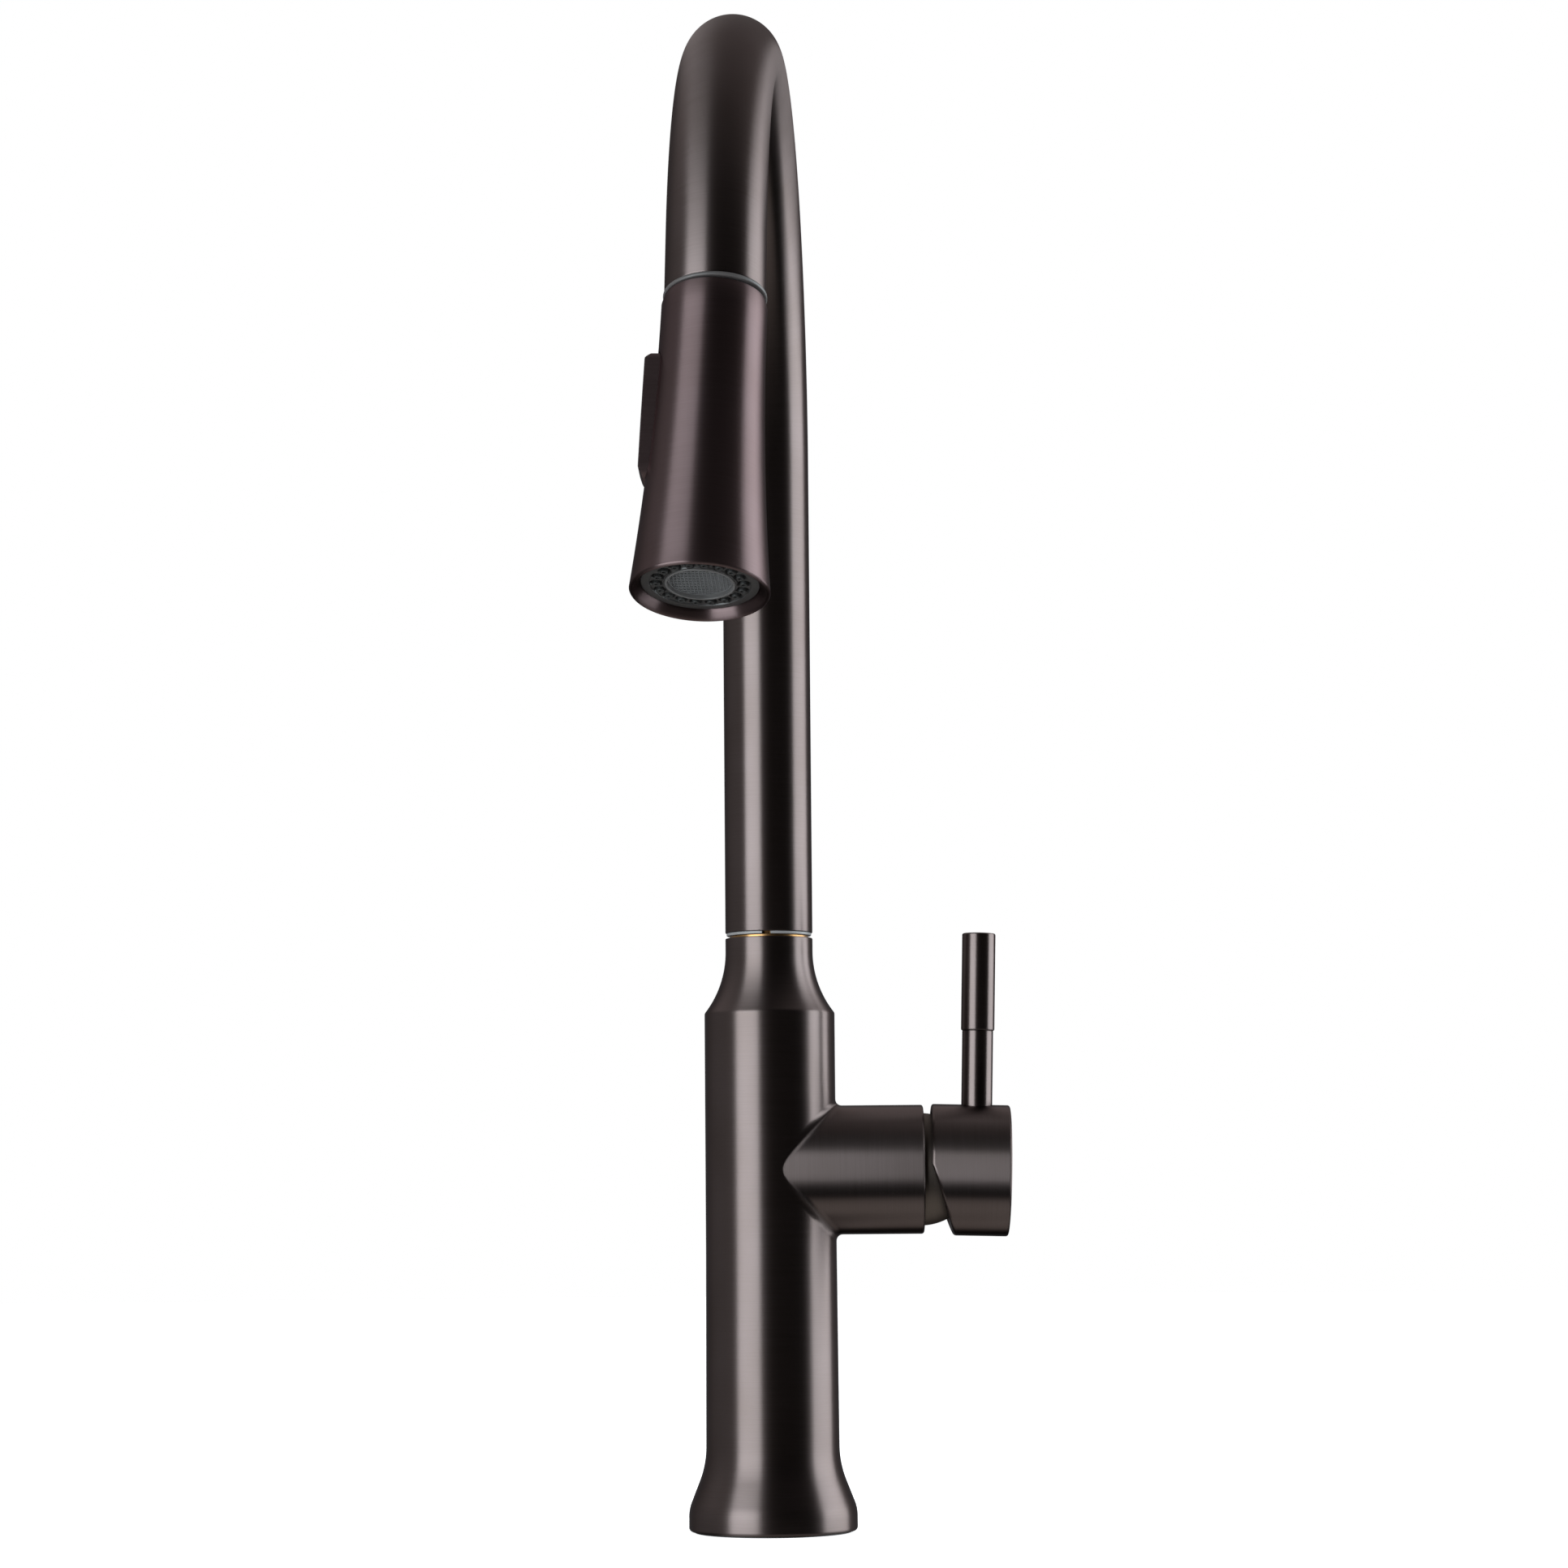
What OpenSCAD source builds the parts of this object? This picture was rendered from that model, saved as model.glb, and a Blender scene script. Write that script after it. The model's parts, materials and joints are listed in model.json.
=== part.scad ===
// Pull-down kitchen faucet with a swivelling gooseneck spout, a docking spray head and a side lever valve.
// Millimetres. +Z is up, the origin is on the body's axis at the deck, the spout reaches towards -Y and
// the valve branch points along +X.

/* [Body] */
// Height of the body, deck to the top of the neck
body_h = 189.3; // [170:0.1:240]
// Outer radius of the barrel
barrel_r = 21; // [20:0.1:27]
// Wall of the barrel
barrel_wall = 2.5; // [2:0.1:3.5]
// How much wider in radius the barrel is at the foot than at the branch
barrel_draft = 0.3; // [0:0.1:0.8]
// How far the foot stands out past the barrel
foot_flare = 5.6; // [4:0.1:9]
// Height of the foot's upright rim
foot_rim_h = 5.1; // [3:0.1:8]
// Radius of the round over the rim
foot_round = 12; // [6:0.5:14]
// Slope of the foot's flare, from upright
foot_angle = 21.5; // [15:0.5:25]
// Fillet radius where the flare meets the barrel
foot_fillet = 30; // [15:0.5:36]
// Round on the foot's lower edge
foot_edge = 1.2; // [0.5:0.1:2]
// Straight length of neck under its top face
neck_land = 4.3; // [2:0.1:10]
// Fillet radius between neck and shoulder
neck_fillet = 32; // [24:0.5:40]
// Round on the shoulder's edge
shoulder_edge = 1.5; // [0.5:0.1:2]
// Wall of the neck round its bush
neck_wall = 2.1; // [1.6:0.1:3]

/* [Spout] */
// Outer radius of the spout tube
tube_r = 14.1; // [13.6:0.1:18]
// Wall of the spout tube
tube_wall = 1.3; // [1:0.1:1.8]
// Length of the upright run of tube
riser_h = 152.2; // [100:0.1:260]
// Centreline radius of the gooseneck
goose_r = 102.5; // [80:0.5:140]
// Angle the gooseneck bends through
goose_angle = 164; // [150:0.5:180]
// Straight length of tube after the bend
goose_tail = 19.3; // [16:0.1:40]
// Angle of the spout about the body at rest
spout_swing = -3.5; // [-20:0.5:20]
// Thickness of the split slip ring under the tube
slip_ring_h = 0.9; // [0.5:0.1:1.5]
// Width of the slip ring's split
slip_split = 2.8; // [1:0.1:4]
// How far the slip ring stands back from the tube's surface
slip_step = 0.4; // [0.2:0.1:1]
// Thickness of the neck bush's flange
bush_flange = 0.8; // [0.5:0.1:1.5]
// How far that flange stands back from the neck's surface
flange_step = 1.4; // [0.5:0.1:1.8]
// Wall of the neck bush
bush_wall = 1.4; // [1:0.1:1.8]
// Radius of the hole that the set screws of spout and handle fit
set_screw_r = 2; // [1.5:0.1:2.5]

/* [Hose] */
// Outer radius of the braided hose
hose_r = 6; // [5:0.1:7.2]
// Room round the hose in the swivel
hose_gap = 1.4; // [0.8:0.1:1.6]
// Length of the fitting at the hose's lower end
hose_fitting_h = 16; // [12:1:24]

/* [Dock] */
// Thickness of the gasket on the tube's end
gasket_h = 1.2; // [0.8:0.1:2]
// Depth of the docking collar inside the tube
collar_h = 14; // [10:0.5:18]
// Play between the head's nose and the collar
nose_play = 0.7; // [0.4:0.1:1]
// Gap between the gasket and the docked head
dock_gap = 0.5; // [0.45:0.05:1]
// Lean of the docked head out of the spout's plane
head_lean = 1.75; // [0:0.25:1.75]

/* [Spray head] */
// Length of the head, dock to lip
head_l = 90.3; // [85:0.1:120]
// How far the head's top stands out past the spout's tube
head_step = 0.55; // [0.2:0.05:2]
// Outer radius of the head at its lip
lip_r = 19.05; // [17.5:0.05:25]
// Wall of the head's shell
shell_wall = 1.4; // [1.2:0.1:2]
// Width of the lip round the spray face
lip_w = 2.9; // [2:0.1:4]
// Depth of the spray face inside the lip
face_depth = 2.6; // [1:0.1:4]
// Radius of the ring of nozzles
nozzle_ring_r = 11.8; // [11.4:0.1:12.6]
// Number of nozzles
nozzle_n = 18; // [8:1:20]
// Outer radius of the aerator
aerator_r = 9.2; // [7:0.1:9.4]
// Distance from the head's dock end to the button's top
button_top = 19.6; // [16:0.1:24]
// Length of the rocking button
button_l = 37.7; // [30:0.1:44]
// Width of the button
button_w = 11; // [8:0.1:13]
// How far the button stands proud of the shell at its top
button_proud = 3.1; // [2:0.1:4]
// Radius of the crown across the button's face
button_crown_r = 20.8; // [12:0.2:40]
// Travel of the rocking button, in degrees
button_travel = 5; // [2:0.5:5]

/* [Valve] */
// Height of the valve's axis over the deck
valve_z = 114.6; // [105:0.1:125]
// Radius of the ceramic cartridge
cartridge_r = 17.4; // [16:0.1:20]
// Wall of the branch round the cartridge
branch_wall = 3.25; // [2.5:0.05:4.5]
// Depth of the cartridge's pocket
pocket_l = 31.1; // [30:0.1:34]
// Round on the branch's rim
branch_edge = 0.8; // [0.3:0.1:1.5]
// Wall of the dome over the cartridge
dome_wall = 1.6; // [1:0.1:2.2]
// Radius of the dome's hole for the stem
dome_hole_r = 11.5; // [10.5:0.1:12.5]
// Stem angle above the valve's axis when shut
stem_up = 11; // [8:0.5:11]
// Distance of the cartridge's two inlets from its middle, to each side
inlet_y = 9.3; // [8:0.1:9.9]
// Radius of the threads in the three water ports
port_r = 5; // [4:0.1:5.2]
// Depth of the water ports' threads
port_l = 12; // [8:0.5:14]

/* [Handle] */
// Gap between the branch and the hub
hub_gap = 2.2; // [1.8:0.1:4]
// Outer radius of the hub
hub_r = 21; // [20.4:0.1:24]
// Length of the hub
hub_l = 25.3; // [24:0.1:34]
// Round on the hub's edges
hub_edge = 0.8; // [0.3:0.1:1.5]
// Slope of the hub's relieved underside, from upright
relief_angle = 19; // [12:0.5:24]
// Height over the valve's axis where the relief starts
relief_up = 1.5; // [0:0.1:4]
// Lean of the handle at rest
handle_lean = 1.5; // [0:0.1:3]
// Distance from the valve's pivot to the lever
lever_out = 17.7; // [16.8:0.1:22]
// Radius of the lever's lower rod
rod_r = 5; // [4:0.02:6]
// Radius of the lever's grip sleeve
sleeve_r = 5.4; // [4.6:0.05:7]
// Height of the rod over the hub
rod_h = 23.8; // [15:0.1:45]
// Length of the grip sleeve
sleeve_l = 31.5; // [20:0.1:60]
// Round on the sleeve's ends
sleeve_edge = 0.6; // [0.2:0.1:1]

/* [Mounting] */
// Outer radius of the threaded shank
shank_r = 16.5; // [16:0.1:20]
// Wall of the shank
shank_wall = 2; // [1.5:0.1:2.2]
// Length of the shank's stretch inside the deck
deck_l = 36; // [20:1:60]
// Length of the shank's stretch for the nut
nut_thread_l = 34; // [24:1:60]
// Height of the sealing ring's foot below the casting
seal_proud = 0.4; // [0.2:0.1:0.8]
// Height of the mounting nut
nut_h = 12; // [8:0.5:20]
// Reach of the washers past the shank
washer_w = 10.5; // [8.5:0.5:14]

/* [Hidden] */
$fn = 96;
eps = 0.01;
run_clear = 0.05;       // radial clearance of a turning or sliding fit
part_gap = 0.3;         // room between pieces that pass each other

// body
barrel_low_r = barrel_r + barrel_draft;
foot_r = barrel_low_r + foot_flare;
bore_r = barrel_r - barrel_wall;
flare_run = foot_flare - (foot_round + foot_fillet) * (1 - cos(foot_angle));
flare_z1 = foot_rim_h + foot_round * sin(foot_angle);
flare_z2 = flare_z1 + flare_run / tan(foot_angle);
flare_z3 = flare_z2 + foot_fillet * sin(foot_angle);
flare_r1 = foot_r - foot_round * (1 - cos(foot_angle));
draft_z = valve_z - 1.3 * (cartridge_r + branch_wall);
flare_r2 = barrel_low_r + foot_fillet * (1 - cos(foot_angle));
neck_r = tube_r;
neck_z = body_h - neck_land;
shoulder_out = neck_fillet - (barrel_r - neck_r);
shoulder_z = neck_z - sqrt(pow(neck_fillet, 2) - pow(shoulder_out, 2));
edge_z = neck_z - sqrt(pow(neck_fillet + shoulder_edge, 2) - pow(shoulder_out + shoulder_edge, 2));

// swivel
bush_r = neck_r - neck_wall;
bush_bore = bush_r - bush_wall;
bush_z = shoulder_z;
stem_r = bush_bore - run_clear;
swivel_bore = hose_r + hose_gap;
groove_depth = min(1.35, (stem_r - swivel_bore) / 2);
swivel_z = bush_z + 0.5;
o_ring_z = [bush_z + 3.5, bush_z + 7.5];
o_ring_w = 2;
screw_z = bush_z + 13;
screw_groove = 4.4;
slip_z = body_h + bush_flange;
tube_z = slip_z + slip_ring_h;
tube_bore = tube_r - tube_wall;
goose_z = tube_z + riser_h;
braze_l = 12;

// mounting
shank_bore = shank_r - shank_wall;
spigot_r = shank_r - 0.5;
spigot_l = 15;
relief_h = 2;
nut_thread_z = -deck_l - relief_h;
shank_z = nut_thread_z - nut_thread_l;
stack_z = nut_thread_z - 0.6;
rubber_h = 3;
washer_h = 2;
nut_z = stack_z - rubber_h - washer_h - nut_h;
jack_r = 2.4;
jack_ring_r = shank_r + washer_w / 2;
gasket_in_r = shank_r + 3.5;
gasket_out_r = foot_r - 2;

// hose
hose_x = -(shank_bore - hose_r - 0.5);
s_bend_h = 46;
s_bend_z = bush_z - 1 - s_bend_h;
hose_split_z = tube_z + 14;
hose_sides = 12;
s_bend_rings = 10;
hose_route = concat(    // centre of each ring and the route's slope there, from upright
    [[hose_x, shank_z - 6, 0]],
    [for (i = [0 : s_bend_rings]) let (turn = 180 * i / s_bend_rings) [
        hose_x * (1 + cos(turn)) / 2,
        s_bend_z + s_bend_h * i / s_bend_rings,
        atan(-hose_x * PI / 2 * sin(turn) / s_bend_h)
    ]],
    [[0, hose_split_z, 0]]
);
nipple_back = 4.2;

// dock and head
collar_bore = tube_bore - 3.2;
head_top_r = tube_r + head_step;
nose_r = collar_bore - nose_play;
nose_l = collar_h - 1;
head_z = gasket_h + dock_gap;
flare_z = 4;
flare_grow = lip_r - head_top_r;
shell_flare_r = (pow(head_l - flare_z, 2) + pow(flare_grow, 2)) / (2 * flare_grow);
face_r = lip_r - lip_w;
face_z = head_l - face_depth;
plate_h = 2.2;
mat_h = 1.4;
mat_z = face_z - plate_h - mat_h;
core_r = 11.2;
pivot_t = button_top + button_l / 2;
pivot_in = head_top_r - 3.35;
core_flat = pivot_in - 2.2;
button_root = 2.1;
spool_t = pivot_t - 10.5;
spool_r = 2.6;
pin_r = 0.9;
ear_w = 2;
leg_w = button_w - 4;

// valve
branch_r = cartridge_r + branch_wall;
pocket_r = cartridge_r + 0.15;
nut_r = cartridge_r + 1;
pocket_x = barrel_r - 3;
branch_x = pocket_x + pocket_l;
pivot_x = branch_x - 0.8;
dome_r = cartridge_r + 0.6;
nut_x = branch_x - 5.05;
dome_x = branch_x - 0.1;
neck_bore_r = dome_hole_r - 2.5;
cavity_r = cartridge_r - 2.9;
base_l = 6;
disc_h = 3.5;
moving_h = 3;
carrier_h = 4.5;
disc_x = pocket_x + base_l;
moving_x = disc_x + disc_h;
carrier_x = moving_x + moving_h;
rotor_x = carrier_x + carrier_h + 0.2;
housing_top = 2.5;
stem_r1 = 2;
ball_r = 2.9;
stem_in = (pivot_x - carrier_x - ball_r - 0.3) / cos(stem_up);
stem_w = 7;
stem_slot = stem_w + 0.4;
disc_down = stem_in * sin(stem_up);
port_y = shank_bore - port_r - 0.2;
block_x = -(port_r + 1.5);
block_z0 = valve_z - branch_r + 0.05;
block_z1 = valve_z + branch_r + 0.6;
inlet_up = 2.4;
outlet_down = 8.6;
water_r = 2.6;

// handle
hub_x = branch_x + hub_gap;
hub_cavity_r = dome_r + 1.2;
lever_x = pivot_x + lever_out;
hub_top_z = valve_z + hub_r;
rod_root_z = valve_z + sqrt(pow(hub_cavity_r, 2) - pow(lever_out - rod_r, 2)) + 0.4;
rod_top_z = hub_top_z + rod_h;
sleeve_top_z = rod_top_z + sleeve_l;
stud_r = rod_r - 1.2;
stem_out = hub_x + hub_l - pivot_x - 3.4;

// colours
bronze = "#3d3433";
bronze_warm = "#453a38";
brass = "#b8864b";
steel = "#a9aaac";
dark_plastic = "#2b2b2b";
rubber = "#151515";
grey_plastic = "#8e8c8c";
ceramic = "#e6e2d8";

// ---- helpers ----

module ring(r_out, r_in, h) {
    difference() {
        cylinder(r = r_out, h = h);
        translate([0, 0, -eps]) cylinder(r = r_in, h = h + 2 * eps);
    }
}

// solid of revolution with its rim rounded at both ends
module rounded_rod(r, h, edge) {
    rotate_extrude() union() {
        square([r - edge, h]);
        translate([0, edge]) square([r, h - 2 * edge]);
        translate([r - edge, edge]) circle(edge, $fn = 32);
        translate([r - edge, h - edge]) circle(edge, $fn = 32);
    }
}

// rectangle with rounded corners, centred
module rounded_rectangle(w, h, r) {
    square([w - 2 * r, h], center = true);
    square([w, h - 2 * r], center = true);
    for (x = [-1, 1], y = [-1, 1]) translate([x * (w / 2 - r), y * (h / 2 - r)]) circle(r, $fn = 48);
}

// local Z runs out along the valve's axis, from the body's axis
module along_branch(x) {
    translate([x, 0, valve_z]) rotate([0, 90, 0]) children();
}

// the handle's pieces, leaned about the valve's pivot as the closed handle stands
module as_handle() {
    translate([pivot_x, 0, valve_z]) rotate([0, handle_lean, 0]) translate([-pivot_x, 0, -valve_z]) children();
}

// local Z runs out along the stem, from the pivot
module along_stem() {
    translate([pivot_x, 0, valve_z]) rotate([0, 90 - stem_up, 0]) children();
}

module in_spout_plane() {
    rotate([0, 0, spout_swing]) children();
}

// the bend of the gooseneck, for a profile drawn round the tube's centreline
module goose_bend() {
    translate([0, -goose_r, goose_z]) rotate([90, 0, 90])
        rotate_extrude(angle = goose_angle) translate([goose_r, 0]) children();
}

// local Z runs out of the tube's end, along its axis
module at_dock() {
    in_spout_plane() translate([0, -goose_r, goose_z]) rotate([goose_angle, 0, 0])
        translate([0, goose_r, goose_tail]) children();
}

module at_head() {
    at_dock() rotate([0, -head_lean, 0]) children();
}

// outer radius of the spray head's shell at a distance from its dock
function shell_r(t) = t < flare_z ? head_top_r
    : head_top_r + shell_flare_r - sqrt(pow(shell_flare_r, 2) - pow(t - flare_z, 2));

// ---- body ----

module casting_profile() {
    difference() {
        union() {
            translate([0, seal_proud]) square([foot_r - foot_edge, foot_edge]);
            translate([foot_r - foot_edge, seal_proud + foot_edge]) circle(foot_edge, $fn = 48);
            translate([0, seal_proud + foot_edge]) square([foot_r, foot_rim_h - seal_proud - foot_edge]);
            intersection() {
                translate([foot_r - foot_round, foot_rim_h]) circle(foot_round);
                translate([0, foot_rim_h]) square([foot_r, flare_z1 - foot_rim_h]);
            }
            polygon([[0, foot_rim_h], [flare_r1 - 3, foot_rim_h], [flare_r1, flare_z1], [flare_r2, flare_z2],
                [barrel_low_r, flare_z3], [barrel_r, draft_z], [0, draft_z]]);
            translate([0, draft_z]) square([barrel_r, edge_z - draft_z]);
            translate([0, edge_z]) square([barrel_r - shoulder_edge, neck_z - edge_z]);
            translate([barrel_r - shoulder_edge, edge_z]) circle(shoulder_edge, $fn = 48);
            translate([0, edge_z]) square([neck_r, body_h - edge_z]);
        }
        translate([barrel_low_r + foot_fillet, flare_z3]) circle(foot_fillet);
        translate([neck_r + neck_fillet, neck_z]) circle(neck_fillet);
    }
}

module barrel_bore() {
    translate([0, 0, -1]) cylinder(r = spigot_r, h = spigot_l + 2);
    translate([0, 0, spigot_l]) cylinder(r = bore_r, h = shoulder_z - 7 - spigot_l);
    translate([0, 0, shoulder_z - 7 - eps]) cylinder(r1 = bore_r, r2 = bush_r, h = 6.5);
    translate([0, 0, shoulder_z - 1]) cylinder(r = bush_r, h = body_h);
}

// the valve's branch, which the barrel is cut to fit
module branch_rod() {
    along_branch(0) rotate_extrude() union() {
        square([branch_r, branch_x - branch_edge]);
        square([branch_r - branch_edge, branch_x]);
        translate([branch_r - branch_edge, branch_x - branch_edge]) circle(branch_edge, $fn = 32);
    }
}

module body_casting() {
    color(bronze) difference() {
        rotate_extrude() casting_profile();
        barrel_bore();
        branch_rod();
        translate([0, 0, seal_proud - 1]) ring(gasket_out_r, gasket_in_r, 2.2);
        translate([0, 0, screw_z]) rotate([-90, 0, 0]) cylinder(r = set_screw_r, h = barrel_r, $fn = 32);
    }
}

// solid block behind the cartridge, which carries the three water ports
module valve_block() {
    intersection() {
        translate([0, 0, block_z0]) cylinder(r = bore_r, h = block_z1 - block_z0);
        translate([block_x, -barrel_r, block_z0]) cube([pocket_x - block_x, 2 * barrel_r, block_z1 - block_z0]);
    }
}

// threaded port over the shank, and the bore that leads from it up and across to the cartridge
module water_way(port, bore, up) {
    translate([port[0], port[1], block_z0 - 1]) cylinder(r = port_r, h = port_l + 1);
    translate([bore[0], bore[1], block_z0]) cylinder(r = water_r, h = valve_z + up + water_r - block_z0);
    translate([bore[0], bore[1], valve_z + up]) rotate([0, 90, 0])
        cylinder(r = water_r, h = pocket_x - bore[0] + 1);
}

module water_ports() {
    for (side = [1, -1]) water_way([0, side * port_y], [0, side * inlet_y], inlet_up);
    water_way([port_y, 0], [port_y, 0], -outlet_down);
}

// branch and port block, brazed into the barrel
module valve_socket() {
    color(bronze) difference() {
        union() {
            difference() {
                branch_rod();
                barrel_bore();
            }
            valve_block();
        }
        along_branch(pocket_x) cylinder(r = pocket_r, h = pocket_l + 1);
        along_branch(nut_x - 0.5) cylinder(r = nut_r, h = branch_x - nut_x + 2);
        water_ports();
        translate([hose_x, 0, block_z0 - 1]) cylinder(r = hose_r + 0.8, h = block_z1 - block_z0 + 2);
        translate([0.6 * hose_x, 0, valve_z + inlet_up + water_r + 1.2]) cylinder(r = hose_r + 2, h = block_z1);
    }
}

module base_gasket() {
    color(rubber) ring(gasket_out_r, gasket_in_r, seal_proud + 1.2);
}

module shank() {
    color(brass) difference() {
        union() {
            translate([0, 0, -deck_l]) cylinder(r = shank_r, h = deck_l + seal_proud);
            translate([0, 0, nut_thread_z - 1]) cylinder(r = shank_r - 0.9, h = relief_h + 2);
            translate([0, 0, shank_z + 1]) cylinder(r = shank_r, h = nut_thread_l - 1);
            translate([0, 0, shank_z]) cylinder(r1 = shank_r - 1, r2 = shank_r, h = 1);
            cylinder(r = spigot_r, h = spigot_l);
        }
        translate([0, 0, shank_z - 1]) cylinder(r = shank_bore, h = spigot_l - shank_z + 2);
    }
}

// ---- swivel ----

module neck_bush() {
    color(brass) difference() {
        union() {
            translate([0, 0, bush_z]) cylinder(r = bush_r, h = body_h - bush_z);
            translate([0, 0, body_h]) cylinder(r = neck_r - flange_step, h = bush_flange);
        }
        translate([0, 0, bush_z - 1]) cylinder(r = bush_bore, h = slip_z - bush_z + 2);
        translate([0, 0, screw_z]) rotate([-90, 0, 0]) cylinder(r = set_screw_r, h = barrel_r, $fn = 32);
    }
}

module swivel_insert() {
    color(brass) difference() {
        union() {
            translate([0, 0, swivel_z]) cylinder(r = stem_r, h = tube_z - swivel_z);
            translate([0, 0, tube_z]) cylinder(r = tube_bore, h = braze_l);
        }
        translate([0, 0, swivel_z - 1]) cylinder(r = swivel_bore, h = tube_z + braze_l - swivel_z + 2);
        for (z = o_ring_z)
            translate([0, 0, z - o_ring_w / 2]) ring(stem_r + 1, stem_r - groove_depth, o_ring_w);
        translate([0, 0, screw_z - screw_groove / 2]) ring(stem_r + 1, stem_r - groove_depth, screw_groove);
    }
}

module swivel_o_rings() {
    section_r = groove_depth / 2 - 0.01;
    color(rubber) for (z = o_ring_z)
        translate([0, 0, z]) rotate_extrude()
            translate([stem_r - section_r, 0]) circle(section_r, $fn = 24);
}

module slip_ring() {
    color(grey_plastic) in_spout_plane() translate([0, 0, slip_z]) difference() {
        ring(neck_r - slip_step, stem_r + 0.2, slip_ring_h);
        translate([-slip_split / 2, -neck_r - 1, -1]) cube([slip_split, neck_r, slip_ring_h + 2]);
    }
}

module spout_set_screw() {
    tip = stem_r - groove_depth + part_gap;
    color(steel) translate([0, tip, screw_z]) rotate([-90, 0, 0]) difference() {
        cylinder(r = set_screw_r - 0.01, h = neck_r - tip + 0.1, $fn = 32);
        translate([0, 0, neck_r - tip - 1.5]) cylinder(r = set_screw_r / 2, h = 3, $fn = 6);
    }
}

// ---- spout ----

module tube_section() {
    difference() {
        circle(tube_r);
        circle(tube_bore);
    }
}

module spout_tube() {
    color(bronze) in_spout_plane() union() {
        translate([0, 0, tube_z]) linear_extrude(riser_h) tube_section();
        goose_bend() tube_section();
    }
}

// machined end of the spout, brazed on after the tube is bent
module spout_outlet() {
    color(bronze) at_dock() translate([0, 0, -goose_tail]) linear_extrude(goose_tail) tube_section();
}

module dock_collar() {
    color(dark_plastic) at_dock() translate([0, 0, -collar_h]) difference() {
        cylinder(r = tube_bore, h = collar_h);
        translate([0, 0, -1]) cylinder(r = collar_bore, h = collar_h + 2);
        translate([0, 0, -eps]) cylinder(r1 = tube_bore - 1, r2 = collar_bore, h = 3);
        translate([0, 0, collar_h - 5]) ring(tube_bore - 0.5, collar_bore + 0.7, 6);
    }
}

module dock_magnet() {
    color(steel) at_dock() translate([0, 0, -5]) ring(tube_bore - 0.5, collar_bore + 0.7, 4.6);
}

module dock_gasket() {
    color("#4c5052") at_dock() ring(tube_r + 0.3, collar_bore + 0.2, gasket_h);
}

// ---- hose ----

module hose_section() {
    difference() {
        circle(hose_r, $fn = 48);
        circle(hose_r - 2.2, $fn = 48);
    }
}

// the hose's run up through the shank and body, bending over from beside the valve to the swivel's axis
module hose_body_run() {
    rings = len(hose_route);
    points = [for (p = hose_route, k = [0 : hose_sides - 1]) let (a = 360 * k / hose_sides)
        [p[0] + hose_r * cos(a) * cos(p[2]), hose_r * sin(a), p[1] - hose_r * cos(a) * sin(p[2])]];
    sides = [for (i = [0 : rings - 2], k = [0 : hose_sides - 1]) let (n = (k + 1) % hose_sides)
        [i * hose_sides + k, (i + 1) * hose_sides + k, (i + 1) * hose_sides + n, i * hose_sides + n]];
    foot = [for (k = [0 : hose_sides - 1]) k];
    top = [for (k = [hose_sides - 1 : -1 : 0]) (rings - 1) * hose_sides + k];
    color(rubber) polyhedron(points, concat(sides, [foot], [top]));
}

module hose_spout_run() {
    color(rubber) in_spout_plane() union() {
        translate([0, 0, hose_split_z]) linear_extrude(goose_z - hose_split_z) hose_section();
        goose_bend() hose_section();
    }
}

// union nut and thread at the hose's lower end, under the shank
module hose_inlet_fitting() {
    color(brass) translate([hose_x, 0, shank_z - 6 - hose_fitting_h]) difference() {
        union() {
            translate([0, 0, hose_fitting_h - 8]) cylinder(r = hose_r + 0.6, h = 8);
            translate([0, 0, hose_fitting_h - 12]) cylinder(r = hose_r + 2, h = 6, $fn = 6);
            cylinder(r = hose_r - 0.2, h = hose_fitting_h - 8);
        }
        translate([0, 0, -1]) cylinder(r = hose_r - 2.6, h = hose_fitting_h + 2);
    }
}

module hose_ferrule() {
    color(steel) at_head() translate([0, 0, -goose_tail + part_gap]) difference() {
        rounded_rod(hose_r + 0.6, goose_tail - part_gap - nipple_back, 0.5);
        translate([0, 0, -1]) cylinder(r = hose_r - 2.4, h = goose_tail);
    }
}

module hose_nipple() {
    color(brass) at_head() translate([0, 0, -nipple_back]) difference() {
        union() {
            cylinder(r = hose_r - 0.4, h = 3);
            cylinder(r = hose_r - 1.6, h = 18);
        }
        translate([0, 0, -1]) cylinder(r = hose_r - 3.4, h = 20);
        translate([0, 0, 13]) ring(hose_r, hose_r - 2.4, 1.9);
    }
}

module nipple_o_ring() {
    color(rubber) at_head() translate([0, 0, 9.75]) rotate_extrude()
        translate([hose_r - 1.98, 0]) circle(0.4, $fn = 24);
}

// ---- spray head ----

module shell_profile(inset, t0, t1) {
    steps = 28;
    polygon(concat(
        [[0, t0]],
        [for (i = [0 : steps]) let (t = t0 + (t1 - t0) * i / steps) [shell_r(t) - inset, t]],
        [[0, t1]]
    ));
}

module button_outline(grow) {
    translate([0, pivot_t]) rounded_rectangle(button_w + 2 * grow, button_l + 2 * grow, 3 + grow);
}

// extrudes an outline drawn across and along the head out through the button's side
module through_button_side(depth) {
    rotate([90, 0, -90]) linear_extrude(depth) children();
}

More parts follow.
